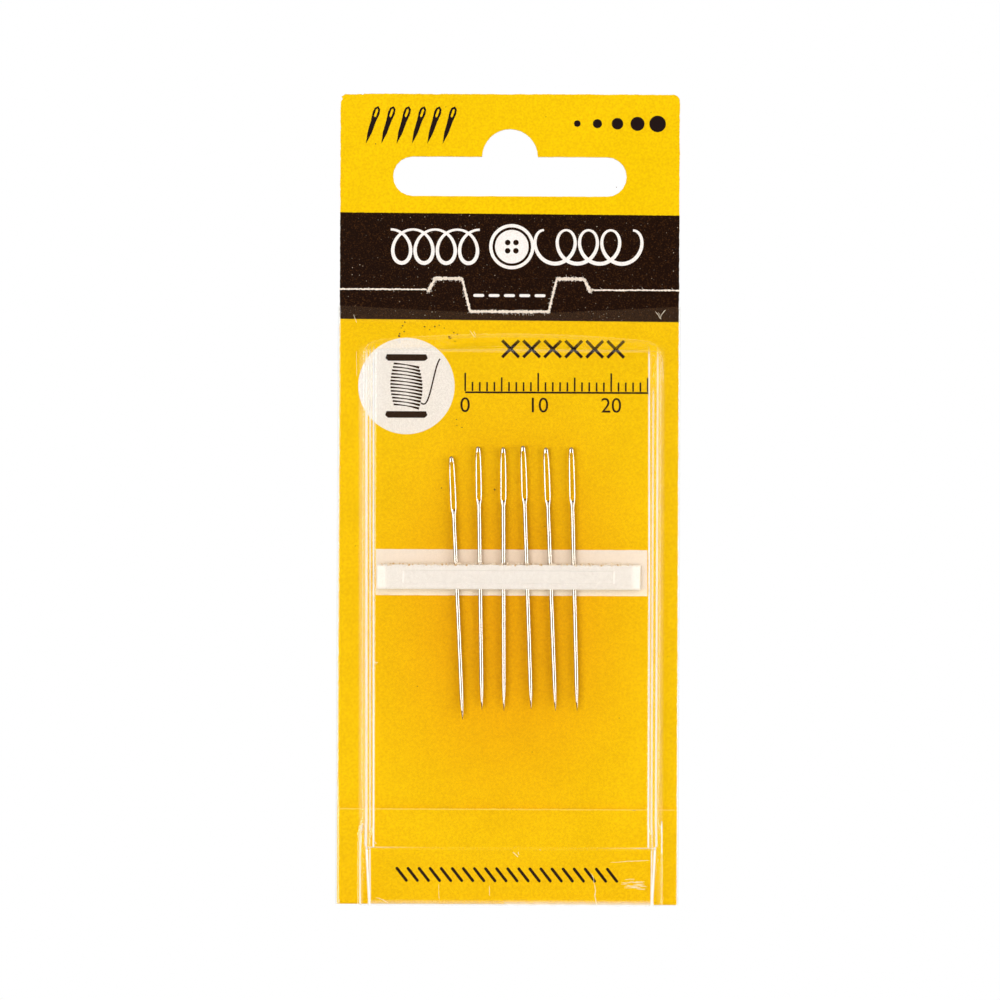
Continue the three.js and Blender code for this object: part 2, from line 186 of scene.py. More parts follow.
def connect(tree, node, inputs):
    """Sets inputs by name or place, each to a value, to a socket or to a node's first output in use."""
    for key, value in inputs.items():
        if isinstance(key, int):
            socket = node.inputs[key]
        else:
            socket = next(each for each in node.inputs if each.name == key and each.enabled)
        if isinstance(value, bpy.types.Node):
            value = next(each for each in value.outputs if each.enabled)
        if isinstance(value, bpy.types.NodeSocket):
            tree.links.new(value, socket)
        else:
            socket.default_value = value


def add_node(tree, kind, inputs=None, **settings):
    """A node with its settings and inputs."""
    made = tree.nodes.new(kind)
    for name, value in settings.items():
        setattr(made, name, value)
    connect(tree, made, inputs or {})
    return made


def fresh_material(name):
    """A material with one Principled shader, its node tree and that shader."""
    material = bpy.data.materials.get(name) or bpy.data.materials.new(name)
    material.use_nodes = True
    tree = material.node_tree
    tree.nodes.clear()
    shader = add_node(tree, "ShaderNodeBsdfPrincipled")
    add_node(tree, "ShaderNodeOutputMaterial", {"Surface": shader})
    return material, tree, shader


def mesh_of(thing):
    """The evaluated object as a plain mesh, with its modifiers in it."""
    graph = bpy.context.evaluated_depsgraph_get()
    return bpy.data.meshes.new_from_object(thing.evaluated_get(graph), depsgraph=graph)


def link_new(name, data):
    made = bpy.data.objects.new(name, data)
    bpy.context.scene.collection.objects.link(made)
    return made


def drop_object(thing):
    data = thing.data
    bpy.data.objects.remove(thing)
    bpy.data.meshes.remove(data)


def bake_modifiers(thing):
    """Turns an object's modifiers into its mesh and drops the old mesh."""
    bpy.context.view_layer.update()
    mesh = mesh_of(thing)
    old = thing.data
    thing.modifiers.clear()
    thing.data = mesh
    bpy.data.meshes.remove(old)
    return thing


def thicken(thing, thickness):
    """Gives an open sheet its thickness, half to each side."""
    solid = thing.modifiers.new("thickness", "SOLIDIFY")
    solid.thickness = thickness
    solid.offset = 0.0
    return bake_modifiers(thing)


def finished(thing, materials, body, slot, *nodes, smooth_deg=35):
    """Gives a piece its finishes and its body, and lets it stand for its solids."""
    kinds = [polygon.material_index for polygon in thing.data.polygons]
    thing.data.materials.clear()
    for material in materials:
        thing.data.materials.append(material)
    for polygon, kind in zip(thing.data.polygons, kinds):
        polygon.material_index = min(kind, len(materials) - 1)
        polygon.use_smooth = True
    thing.data.set_sharp_from_angle(angle=math.radians(smooth_deg))
    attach(thing, body)
    if nodes:
        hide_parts(*nodes)
    return thing


def steps(low, high, step):
    """Numbers from low to just below high, about a step apart."""
    count = max(1, round((high - low) / step))
    return [low + (high - low) * i / count for i in range(count)]


def runs(start, *stretches):
    """Numbers from start through the end of each (end, step) stretch, about its step apart."""
    line = []
    for end, step in stretches:
        line += steps(start, end, step=step)
        start = end
    return np.array(line + [start])


def smooth_step(value):
    clipped = np.clip(value, 0.0, 1.0)
    return clipped * clipped * (3 - 2 * clipped)


def soft_min(a, b, width):
    """The lesser of two heights, rounded where they cross."""
    overlap = np.maximum(width - np.abs(a - b), 0.0) / width
    return np.minimum(a, b) - overlap * overlap * width / 4


def soft_max(a, b, width):
    return -soft_min(-a, -b, width)


def grid_faces(rows, columns):
    """Quads of a grid of points that is stored row by row."""
    faces = []
    for row in range(rows - 1):
        for column in range(columns - 1):
            here = row * columns + column
            faces.append((here, here + 1, here + columns + 1, here + columns))
    return faces


def tube_faces(rings, around):
    """Quads between closed rings of points that are stored ring by ring."""
    faces = []
    for first in range(0, (rings - 1) * around, around):
        for i in range(around):
            here, beside = first + i, first + (i + 1) % around
            faces.append((here, here + around, beside + around, beside))
    return faces


def sheet_object(name, points, faces):
    mesh = bpy.data.meshes.new(name)
    mesh.from_pydata(points, [], faces)
    mesh.update()
    return link_new(name, mesh)


def outward(thing):
    """Turns the faces of a closed shape outward."""
    shape = bmesh.new()
    shape.from_mesh(thing.data)
    bmesh.ops.recalc_face_normals(shape, faces=shape.faces)
    shape.to_mesh(thing.data)
    shape.free()
    return thing


# Outlines in the card's plane, as lists of (x, drop)


def arc(middle, radius, start_deg, end_deg, count=10):
    """Points on an arc; angles run from +x towards the card's top."""
    points = []
    for i in range(count + 1):
        turn = math.radians(start_deg + (end_deg - start_deg) * i / count)
        points.append((middle[0] + radius * math.cos(turn), middle[1] - radius * math.sin(turn)))
    return points


def circle(middle, radius, count=48):
    return arc(middle, radius, 0, 360, count=count)[:-1]


def rectangle(left, top, right, foot):
    return [(left, top), (right, top), (right, foot), (left, foot)]


def resampled(points, step, closed=True):
    """The same line with points about a step apart, its own corners kept."""
    ends = points[1:] + points[:1] if closed else points[1:]
    made = []
    for (x0, d0), (x1, d1) in zip(points, ends):
        count = max(1, round(math.hypot(x1 - x0, d1 - d0) / step))
        made += [(x0 + (x1 - x0) * i / count, d0 + (d1 - d0) * i / count) for i in range(count)]
    return made if closed else made + points[-1:]


def roughened(points, amount, grain, seed):
    """Pushes each point by a little, as a worn die leaves an edge."""
    made = []
    for x, drop in points:
        push = noise.noise_vector(Vector((x / grain, drop / grain, seed)))
        made.append((x + push.x * amount, drop + push.y * amount))
    return made


def ragged_widths(points, mean, spread, seed):
    return [
        mean + spread * noise.noise(Vector((x / (0.25 * MM), drop / (0.25 * MM), seed))) for x, drop in points
    ]


def stood_up(name, curve, place):
    """A flat curve or number as a plain mesh, stood up in the card's plane at this place."""
    shape = link_new(name, curve)
    bpy.context.view_layer.update()
    mesh = mesh_of(shape)
    bpy.data.objects.remove(shape)
    bpy.data.curves.remove(curve)
    mesh.transform(Matrix.Translation(place) @ Matrix.Rotation(math.pi / 2, 4, "X"))
    return link_new(name, mesh)


def plate(name, outlines, back_y, front_y, edge=0.0):
    """A flat board piece with this outline and holes, with a fine rounded edge."""
    curve = bpy.data.curves.new(name, "CURVE")
    curve.dimensions = "2D"
    curve.fill_mode = "BOTH"
    curve.extrude = (back_y - front_y) / 2 - edge
    curve.bevel_depth = edge
    curve.bevel_resolution = 1
    curve.offset = -edge
    for outline in outlines:
        spline = curve.splines.new("POLY")
        spline.points.add(len(outline) - 1)
        for point, (x, drop) in zip(spline.points, outline):
            point.co = (x, CARD_HIGH.z - drop, 0.0, 1.0)
        spline.use_cyclic_u = True
    return stood_up(name, curve, (0, (back_y + front_y) / 2, 0))


def join(pieces):
    """One object from several, in the first one's name."""
    joined = bmesh.new()
    for piece in pieces:
        joined.from_mesh(piece.data)
    first, *rest = pieces
    joined.to_mesh(first.data)
    joined.free()
    for piece in rest:
        drop_object(piece)
    return first


def ribbon(name, points, widths, front_y, thickness, rise=0.0):
    """A flat band along a line of (x, drop), at one depth or at each point's own, rising a little on its way."""
    depths = front_y if isinstance(front_y, list) else [front_y] * len(points)
    corners = []
    for i, (x, drop) in enumerate(points):
        before, after = points[max(i - 1, 0)], points[min(i + 1, len(points) - 1)]
        along = Vector((after[0] - before[0], after[1] - before[1])).normalized()
        half = widths[i] / 2
        lift = depths[i] - rise * i / len(points)
        corners.append(spot(x - along.y * half, drop + along.x * half, lift))
        corners.append(spot(x + along.y * half, drop - along.x * half, lift))
    faces = [(i, i + 1, i + 3, i + 2) for i in range(0, len(corners) - 2, 2)]
    return thicken(sheet_object(name, corners, faces), thickness=thickness)


# Geometry nodes: copies of a small piece along a path


def row_tree():
    """Copies of one piece along a path, with a step, a spread, a turn and a range of sizes."""
    tree = bpy.data.node_groups.get("pieces_along_a_path")
    if tree:
        return tree
    tree = bpy.data.node_groups.new("pieces_along_a_path", "GeometryNodeTree")
    tree.is_modifier = True
    tree.interface.new_socket("Geometry", in_out="OUTPUT", socket_type="NodeSocketGeometry")
    for label, kind in (
        ("Geometry", "Geometry"),
        ("Piece", "Object"),
        ("Spacing", "Float"),
        ("Spread", "Vector"),
        ("Turn", "Float"),
        ("Smallest", "Float"),
        ("Largest", "Float"),
        ("Seed", "Int"),
        ("Finish", "Material"),
    ):
        tree.interface.new_socket(label, in_out="INPUT", socket_type="NodeSocket" + kind)
    given = add_node(tree, "NodeGroupInput").outputs
    path = add_node(tree, "GeometryNodeMeshToCurve", {"Mesh": given["Geometry"]})
    points = add_node(tree, "GeometryNodeCurveToPoints", {"Curve": path, "Length": given["Spacing"]}, mode="LENGTH")
    flip = add_node(tree, "ShaderNodeVectorMath", {0: given["Spread"], "Scale": -1.0}, operation="SCALE")
    back_turn = add_node(tree, "ShaderNodeMath", {0: given["Turn"], 1: -1.0}, operation="MULTIPLY")
    strewn, turn, grown = (
        add_node(tree, "FunctionNodeRandomValue", {"Min": low, "Max": high, "Seed": given["Seed"]}, data_type=kind)
        for low, high, kind in (
            (flip, given["Spread"], "FLOAT_VECTOR"),
            (back_turn, given["Turn"], "FLOAT"),
            (given["Smallest"], given["Largest"], "FLOAT"),
        )
    )
    moved = add_node(tree, "GeometryNodeSetPosition", {"Geometry": points, "Offset": strewn})
    tangent = {"Vector": points.outputs["Tangent"]}
    along = add_node(tree, "FunctionNodeAlignRotationToVector", tangent, axis="X", pivot_axis="Y")
    about_depth = add_node(tree, "FunctionNodeAxisAngleToRotation", {"Axis": (0.0, 1.0, 0.0), "Angle": turn})
    both = {"Rotation": along, "Rotate By": about_depth}
    turned = add_node(tree, "FunctionNodeRotateRotation", both, rotation_space="LOCAL")
    piece = add_node(tree, "GeometryNodeObjectInfo", {"Object": given["Piece"]}, transform_space="ORIGINAL")
    copied = {"Points": moved, "Instance": piece.outputs["Geometry"], "Rotation": turned, "Scale": grown}
    copies = add_node(tree, "GeometryNodeInstanceOnPoints", copied)
    real = add_node(tree, "GeometryNodeRealizeInstances", {"Geometry": copies})
    coated = add_node(tree, "GeometryNodeSetMaterial", {"Geometry": real, "Material": given["Finish"]})
    add_node(tree, "NodeGroupOutput", {"Geometry": coated})
    return tree


def row_along(name, points, piece, finish, spacing, spread=(0, 0, 0), turn=0.0, sizes_range=(1.0, 1.0), seed=1):
    """A plain mesh of copies of a small piece along a line of points."""
    mesh = bpy.data.meshes.new(name)
    mesh.from_pydata(points, [(i, i + 1) for i in range(len(points) - 1)], [])
    host = link_new(name, mesh)
    modifier = host.modifiers.new("row", "NODES")
    modifier.node_group = row_tree()
    values = {
        "Piece": piece,
        "Spacing": spacing,
        "Spread": spread,
        "Turn": turn,
        "Smallest": sizes_range[0],
        "Largest": sizes_range[1],
        "Seed": seed,
        "Finish": finish,
    }
    for socket in modifier.node_group.interface.items_tree:
        if socket.in_out == "INPUT" and socket.name in values:
            modifier[socket.identifier] = values[socket.name]
    return bake_modifiers(host)


# Materials


def scaled_place(tree, grain):
    """Object coordinates for a pattern whose grain has this size in metres."""
    place = add_node(tree, "ShaderNodeTexCoord").outputs["Object"]
    return add_node(tree, "ShaderNodeVectorMath", {0: place, "Scale": 1 / grain}, operation="SCALE")


def patterned(tree, grain, detail, low, high, span=(0.3, 0.7)):
    """Noise with a grain of this size in metres, and a value that runs with it from low to high."""
    place = scaled_place(tree, grain=grain)
    pattern = add_node(tree, "ShaderNodeTexNoise", {"Vector": place, "Scale": 1.0, "Detail": detail})
    limits = {"Value": pattern, "From Min": span[0], "From Max": span[1], "To Min": low, "To Max": high}
    return pattern, add_node(tree, "ShaderNodeMapRange", limits)


def drawn_lines(tree, grain, stretch):
    """Noise drawn out into lines down the piece."""
    place = add_node(tree, "ShaderNodeMapping", {"Vector": scaled_place(tree, grain=grain), "Scale": stretch})
    return add_node(tree, "ShaderNodeTexNoise", {"Vector": place, "Scale": 1.0, "Detail": 2.0})


def from_bar_middle(tree):
    """How far a point lies from the bar's middle across the card, and its height."""
    place = add_node(tree, "ShaderNodeTexCoord").outputs["Object"]
    place = add_node(tree, "ShaderNodeSeparateXYZ", {0: place}).outputs
    offset = add_node(tree, "ShaderNodeMath", {0: place["X"], 1: BAR_MIDDLE}, operation="SUBTRACT")
    return add_node(tree, "ShaderNodeMath", {0: offset}, operation="ABSOLUTE"), place["Z"]


def band_ink(tree, height, tooth):
    """Where the dark band is printed, with a ragged edge."""
    size = sizes()
    rag, soft = 0.1 * MM, 0.05 * MM
    ragged = add_node(tree, "ShaderNodeMath", {0: tooth, 1: rag, 2: height}, operation="MULTIPLY_ADD")
    top, foot = CARD_HIGH.z - size.band_top, CARD_HIGH.z - size.band_foot
    under, over = (
        add_node(tree, "ShaderNodeMapRange", {"Value": ragged, "From Min": start, "From Max": end})
        for start, end in ((top + soft, top - soft), (foot - soft, foot + soft))
    )
    return add_node(tree, "ShaderNodeMath", {0: under, 1: over}, operation="MULTIPLY")


def painted_panel_shadow(tree, place, height):
    """Painted shadow on the panel: most behind the needles, where it stands for their and the bar's soft shadow; the
    panel also darkens towards the foot.
    """
    row_middle = (BAR_LOW + BAR_HIGH) / 2 - Vector((0, 0, 5 * MM))
    row_reach = (1 / (16.5 * MM), 0.0, 1 / (24 * MM))
    from_row = add_node(tree, "ShaderNodeVectorMath", {0: place, 1: tuple(row_middle)}, operation="SUBTRACT")
    from_row = add_node(tree, "ShaderNodeVectorMath", {0: from_row, 1: row_reach}, operation="MULTIPLY")
    from_row = add_node(tree, "ShaderNodeVectorMath", {0: from_row}, operation="LENGTH")
    fading = {"Value": from_row, "From Min": 1.55, "From Max": 0.1}
    shade = add_node(tree, "ShaderNodeMapRange", fading, interpolation_type="SMOOTHSTEP")
    flap_edge = CARD_HIGH.z - sizes().flap_drop
    flap = {"Value": height, "From Min": flap_edge, "From Max": CARD_LOW.z, "To Max": 0.2}
    foot = add_node(tree, "ShaderNodeMapRange", flap)
    return add_node(tree, "ShaderNodeMath", {0: shade, 1: foot}, operation="MAXIMUM")


def ink_pinholes(tree, band, cloud):
    """Pinholes in the dark ink that let the pulp through, more of them in some patches."""
    place = scaled_place(tree, grain=0.5 * MM)
    pinhole = add_node(tree, "ShaderNodeTexVoronoi", {"Vector": place, "Scale": 1.0, "Randomness": 1.0}).outputs
    hole = add_node(tree, "ShaderNodeMapRange", {"Value": pinhole["Distance"], "From Min": 0.16, "From Max": 0.05})
    picked = add_node(tree, "ShaderNodeSeparateXYZ", {0: pinhole["Color"]})
    picked = add_node(tree, "ShaderNodeMapRange", {"Value": picked, "From Min": 0.45, "From Max": 1.1, "To Max": 0.6})
    crowd = {"Value": cloud, "From Min": 0.42, "From Max": 0.6, "To Min": 0.4, "To Max": 1.5}
    patches = add_node(tree, "ShaderNodeMapRange", crowd)
    for share in (picked, band):
        hole = add_node(tree, "ShaderNodeMath", {0: hole, 1: share}, operation="MULTIPLY")
    return add_node(tree, "ShaderNodeMath", {0: hole, 1: patches}, operation="MULTIPLY", use_clamp=True)


def offset_printed_board():
    """Board printed in flat offset ink and varnished: even colour, paper tooth, rubbed specks, a soft shine, and the
    needles' shadow painted on the panel.
    """
    size, tint = sizes(), colours()
    material, tree, shader = fresh_material("offset_printed_varnished_board")
    place = add_node(tree, "ShaderNodeTexCoord").outputs["Object"]
    tooth, mottle = patterned(tree, grain=0.3 * MM, detail=4.0, low=0.86, high=1.1)
    cloud, drift = patterned(tree, grain=7 * MM, detail=3.0, low=0.97, high=1.02)
    # The inks are printed a third of a degree out of square
    slope = (0.0055, 0.0, 1.0)
    height = add_node(tree, "ShaderNodeVectorMath", {0: place, 1: slope}, operation="DOT_PRODUCT")
    band = band_ink(tree, height, tooth)
    # The panel's ink is a little deeper than the header's
    under_band = {"Value": height, "From Min": CARD_HIGH.z - size.band_top, "From Max": CARD_HIGH.z - size.band_foot}
    panel = add_node(tree, "ShaderNodeMapRange", under_band)
    # Painted shadow: the needles' and the bar's soft shadow is painted into the panel's colour
    shade = painted_panel_shadow(tree, place, height)
    inked = tint.yellow
    for share, ink in ((panel, tint.panel), (shade, tint.needle_shadow_tone), (band, tint.band)):
        inked = add_node(tree, "ShaderNodeMix", {"Factor": share, "A": inked, "B": ink}, data_type="RGBA")
    # Thin ink is yellower and thick ink more orange, so red changes less than green
    red = add_node(tree, "ShaderNodeMath", {0: mottle, 1: 0.55, 2: 0.435}, operation="MULTIPLY_ADD")
    light = add_node(tree, "ShaderNodeCombineXYZ", {0: red, 1: mottle, 2: mottle})
    light = add_node(tree, "ShaderNodeVectorMath", {0: light, "Scale": drift}, operation="SCALE")
    inked = add_node(tree, "ShaderNodeVectorMath", {0: inked, 1: light}, operation="MULTIPLY")
    # The dark ink lies thin over the board's finest grain, drawn at twice its size so that it shows
    _, thin = patterned(tree, grain=0.16 * MM, detail=1.0, low=0.0, high=0.4, span=(0.54, 0.8))
    thin = add_node(tree, "ShaderNodeMath", {0: thin, 1: band}, operation="MULTIPLY")
    hole = ink_pinholes(tree, band, cloud)
    for share, ink in ((thin, tint.fleck), (hole, linear("f4ead2"))):
        inked = add_node(tree, "ShaderNodeMix", {"Factor": share, "A": inked, "B": ink}, data_type="RGBA")
    gloss = {"Value": cloud, "From Min": 0.3, "From Max": 0.7, "To Min": 0.42, "To Max": 0.56}
    rough = add_node(tree, "ShaderNodeMapRange", gloss)
    relief = add_node(tree, "ShaderNodeBump", {"Height": tooth, "Strength": 0.12, "Distance": 0.02 * MM})
    connect(tree, shader, {"Base Color": inked, "Roughness": rough, "Normal": relief})
    connect(tree, shader, {"IOR": 1.45, "Specular IOR Level": 0.06})
    return material


def fibrous(name, tone, grain, depth, spread, roughness):
    """Uncoated pulp, paper or foam: matt, with fine fibres or cells and a slight drift of tone."""
    material, tree, shader = fresh_material(name)
    fibre, value = patterned(tree, grain=grain, detail=5.0, low=1 - spread, high=1.0)
    toned = add_node(tree, "ShaderNodeVectorMath", {0: tuple(tone)[:3], "Scale": value}, operation="SCALE")
    relief = add_node(tree, "ShaderNodeBump", {"Height": fibre, "Strength": 0.5, "Distance": depth})
    connect(tree, shader, {"Base Color": toned, "Normal": relief, "Roughness": roughness})
    return material


def shaded_paper():
    """Uncoated white paper, with the row of needles' shadow painted into its middle and painted light below the bar.
    """
    tint = colours()
    material, tree, shader = fresh_material("uncoated_white_paper")
    # Painted shadow: the strip darkens towards its middle, where the row of needles shades it
    offset, height = from_bar_middle(tree)
    fading = {"Value": offset, "From Min": 16 * MM, "From Max": 3 * MM}
    shade = add_node(tree, "ShaderNodeMapRange", fading, interpolation_type="SMOOTHSTEP")
    # Painted light: below the bar the strip is painted lighter, to lift the shade the bar casts there
    edge = {"Value": height, "From Min": BAR_LOW.z + 0.3 * MM, "From Max": BAR_LOW.z - 0.1 * MM}
    painted_light_below_bar = add_node(tree, "ShaderNodeMapRange", edge)
    tone = tint.paper
    for share, paper in ((shade, tint.strip_painted_shadow), (painted_light_below_bar, linear("fff6e2"))):
        tone = add_node(tree, "ShaderNodeMix", {"Factor": share, "A": tone, "B": paper}, data_type="RGBA")
    _, value = patterned(tree, grain=0.25 * MM, detail=4.0, low=0.95, high=1.02)
    toned = add_node(tree, "ShaderNodeVectorMath", {0: tone, "Scale": value}, operation="SCALE")
    connect(tree, shader, {"Base Color": toned, "Roughness": 0.85})
    return material


def flat_ink(name, tone):
    """Printed ink: even colour, thinner where the board's tooth takes less, with a low sheen."""
    material, tree, shader = fresh_material(name)
    _, value = patterned(tree, grain=0.2 * MM, detail=3.0, low=0.9, high=1.1, span=(0.35, 0.75))
    toned = add_node(tree, "ShaderNodeVectorMath", {0: tuple(tone)[:3], "Scale": value}, operation="SCALE")
    connect(tree, shader, {"Base Color": toned, "Roughness": 0.45, "Specular IOR Level": 0.08})
    return material


def formed_clear_film():
    """Vacuum-formed clear polyester: a thin glossy sheet, with painted white highlights along its bends, painted glare
    on its walls and a painted veil and glow in places.
    """
    material, tree, shader = fresh_material("vacuum_formed_clear_polyester")
    # This shader is the painted white of the highlights and the glare, mixed in by the attributes below
    connect(tree, shader, {"Base Color": linear("f4faff"), "Roughness": 0.35})
    # The sheet is too thin to bend what is seen through it, so light goes straight on or is mirrored
    sheet_ior = 1.5
    within = add_node(tree, "ShaderNodeNewGeometry").outputs["Backfacing"]
    side = add_node(tree, "ShaderNodeMapRange", {"Value": within, "To Min": sheet_ior, "To Max": 1 / sheet_ior})
    mirrored = add_node(tree, "ShaderNodeFresnel", {"IOR": side})
    # Its fine drawn waves break up the mirror at a slant, so it never gets strong
    mirrored = add_node(tree, "ShaderNodeMath", {0: mirrored, 1: 0.07}, operation="MINIMUM")
    drawn = drawn_lines(tree, grain=1 * MM, stretch=(2.0, 1.0, 0.25))
    relief = add_node(tree, "ShaderNodeBump", {"Height": drawn, "Strength": 0.1, "Distance": 0.05 * MM})
    shine = {"Color": linear("ffffff"), "Roughness": 0.06, "Normal": relief}
    gloss = add_node(tree, "ShaderNodeBsdfGlossy", shine)
    passing = add_node(tree, "ShaderNodeBsdfTransparent", {"Color": colours().film})
    clear = add_node(tree, "ShaderNodeMixShader", {0: mirrored, 1: passing, 2: gloss})
    # Painted glare on the walls: white at a slant, nearly clear when looked at straight
    bend_highlight, glare = (
        add_node(tree, "ShaderNodeAttribute", attribute_name=name).outputs["Fac"] for name in ("bend_highlight", "glare")
    )
    facing = add_node(tree, "ShaderNodeLayerWeight", {"Blend": 0.5}).outputs["Facing"]
    slant = add_node(
        tree, "ShaderNodeMapRange", {"Value": facing, "From Min": 0.15, "From Max": 0.4, "To Min": 0.25}
    )
    glare = add_node(tree, "ShaderNodeMath", {0: glare, 1: slant}, operation="MULTIPLY")
    # Painted highlight or painted glare, whichever is stronger
    white = add_node(tree, "ShaderNodeMath", {0: bend_highlight, 1: glare}, operation="MAXIMUM")
    sheet = add_node(tree, "ShaderNodeMixShader", {0: white, 1: clear, 2: shader})
    shadow = add_node(tree, "ShaderNodeLightPath").outputs["Is Shadow Ray"]
    mixed = add_node(tree, "ShaderNodeMixShader", {0: shadow, 1: sheet, 2: passing})
    connect(tree, tree.nodes["Material Output"], {"Surface": mixed})
    return material


def formed_white_plastic():
    """Thin white polystyrene pressed to shape: satin, a little waxy, with a fine grain."""
    material, tree, shader = fresh_material("pressed_white_polystyrene")
    grain, value = patterned(tree, grain=0.4 * MM, detail=4.0, low=0.93, high=1.02)
    offset, height = from_bar_middle(tree)
    # Painted highlight: the sloping ends are painted white where they catch the light
    end = {"Value": offset, "From Min": BAR_HALF - 1.25 * MM, "From Max": BAR_HALF - 1.05 * MM}
    painted_end_highlight = add_node(tree, "ShaderNodeMapRange", end)
    # So is the short step at each end of the pressed panel, as a painted highlight
    ends, level = (
        add_node(tree, "ShaderNodeMath", {0: where, 1: middle, 2: reach}, operation="COMPARE")
        for where, middle, reach in (
            (offset, BAR_HALF - BAR_INSET, 0.13 * MM),
            (height, (BAR_LOW.z + BAR_HIGH.z) / 2, 0.8 * MM),
        )
    )
    ends = add_node(tree, "ShaderNodeMath", {0: ends, 1: level}, operation="MULTIPLY")
    painted_end_highlight = add_node(tree, "ShaderNodeMath", {0: painted_end_highlight, 1: ends}, operation="MAXIMUM")
    highlight_mix = {"Factor": painted_end_highlight, "A": colours().bar, "B": linear("ffffff")}
    tone = add_node(tree, "ShaderNodeMix", highlight_mix, data_type="RGBA")
    toned = add_node(tree, "ShaderNodeVectorMath", {0: tone, "Scale": value}, operation="SCALE")
    relief = add_node(tree, "ShaderNodeBump", {"Height": grain, "Strength": 0.2, "Distance": 0.02 * MM})
    connect(tree, shader, {"Base Color": toned, "Normal": relief, "Roughness": 0.3})
    return material


def polished_nickel():
    """Nickel-plated drawn steel, polished lengthwise: bright, with fine lines along the needle."""
    material, tree, shader = fresh_material("nickel_plated_drawn_steel")
    drawn = drawn_lines(tree, grain=0.08 * MM, stretch=(1.0, 1.0, 0.03))
    polish = {"Value": drawn, "From Min": 0.3, "From Max": 0.7, "To Min": 0.03, "To Max": 0.08}
    rough = add_node(tree, "ShaderNodeMapRange", polish)
    connect(tree, shader, {"Base Color": colours().steel, "Metallic": 1.0, "Roughness": rough})
    return material


def studio_floor():
    """Pale paper sweep: it takes the shadow near the pack and runs out to plain white."""
    material, tree, shader = fresh_material("pale_paper_sweep")
    connect(tree, shader, {"Base Color": linear("f4f4f2"), "Roughness": 0.9})
    place = add_node(tree, "ShaderNodeTexCoord").outputs["Object"]
    oval = add_node(tree, "ShaderNodeVectorMath", {0: place, 1: (1.0, 1.9, 1.0)}, operation="MULTIPLY")
    away = add_node(tree, "ShaderNodeVectorMath", {0: oval}, operation="LENGTH")
    rim = {"Value": away, "From Min": 0.1, "From Max": 0.19}
    far = add_node(tree, "ShaderNodeMapRange", rim, interpolation_type="SMOOTHSTEP")
    ray = add_node(tree, "ShaderNodeLightPath").outputs
    looks = {0: ray["Is Camera Ray"], 1: ray["Is Transmission Ray"]}
    seen = add_node(tree, "ShaderNodeMath", looks, operation="MAXIMUM")
    white = add_node(tree, "ShaderNodeMath", {0: seen, 1: far}, operation="MULTIPLY")
    # Mirrored in the clear sheet the floor is no brighter than the room
    glow, dim = (
        add_node(tree, "ShaderNodeEmission", {"Color": linear(tone), "Strength": 1.0}) for tone in ("ffffff", "8c8c8c")
    )
    mixed = add_node(tree, "ShaderNodeMixShader", {0: white, 1: shader, 2: glow})
    mixed = add_node(tree, "ShaderNodeMixShader", {0: ray["Is Glossy Ray"], 1: mixed, 2: dim})
    connect(tree, tree.nodes["Material Output"], {"Surface": mixed})
    return material


# Board


def faced(thing):
    """Prints the front and the back and leaves the cut edges as pulp: slots 0, 2 and 1."""
    size = sizes()
    upright = math.cos(math.radians(20))
    inked_below = 0.15
    for polygon in thing.data.polygons:
        # The ink runs on round the fold at the foot and across the tongue's uncut root
        middle, normal = polygon.center, polygon.normal
        drop = CARD_HIGH.z - middle.z
        round_fold = middle.z < CARD_LOW.z + BOARD and abs(normal.x) < 0.5
        near_root = abs(drop - size.root_drop) < 0.1 * MM and abs(middle.x) < size.root_half
        on_flap = middle.y < FRONT and abs(drop - size.flap_drop) < 0.2 * MM
        inked_edge = on_flap and noise.noise(Vector((middle.x / (4 * MM), 0.0, 6.5))) < inked_below
        if normal.y < -upright or round_fold or inked_edge or (near_root and middle.y < 0):
            polygon.material_index = 0
        else:
            polygon.material_index = 2 if normal.y > upright else 1


def board_materials():
    tint = colours()
    return [
        offset_printed_board(),
        fibrous("cut_board_pulp", tint.core, grain=0.12 * MM, depth=0.04 * MM, spread=0.12, roughness=0.9),
        flat_ink("yellow_offset_ink", tint.yellow),
    ]


def card_outline():
    """The card's edge with its knocked upper left corner, down to where the board folds."""
    half = CARD_HIGH.x
    right_round = 0.9 * MM
    # In millimetres from the upper left corner
    knocked = ((3.3, 0.02), (3.1, 0.2), (2.7, 0.1), (0.7, 0.12), (0.15, 0.45), (0.3, 0.8), (0.02, 1.15))
    corner = arc((half - right_round, right_round), right_round, 0, 90)
    return [(-half, FOLD_DROP), (half, FOLD_DROP), *corner, *((-half + x * MM, drop * MM) for x, drop in knocked)]


def slot_outline():
    """The hang slot with its round notch, read from the solid's own corners."""
    corners = [v.co for v in frame["nodes"]["backing_card"].data.vertices]
    # The notch's top is the origin, and it springs from the slot's upper edge
    notch = max(abs(c.x) for c in corners if -4.2 * MM < c.z < 0.1 * MM and abs(c.x) < 6 * MM)
    inside = CARD_HIGH.x - 2 * MM
    inner = [c for c in corners if TONGUE_TOP + MM < c.z < CARD_HIGH.z - MM and abs(c.x) < inside]
    low = min(c.z for c in inner)
    high = max(c.z for c in inner if c.x > notch + MM)
    radius = (high - low) / 2
    middle_drop = CARD_HIGH.z - (low + high) / 2
    end = max(c.x for c in inner) - radius
    return [
        *arc((end, middle_drop), radius, -90, 90),
        *arc((0.0, middle_drop - radius), notch, 0, 180, count=16),
        *arc((-end, middle_drop), radius, 90, 270),
    ]


def tongue_outline(gap):
    """The tongue, this far inside its cut."""
    size = sizes()
    root, tip = size.root_half - gap, size.tip_half - gap
    root_drop, tip_drop = size.root_drop + gap, size.tip_drop - gap
    return [(-root, root_drop), (root, root_drop), (tip, tip_drop), (-tip, tip_drop)]


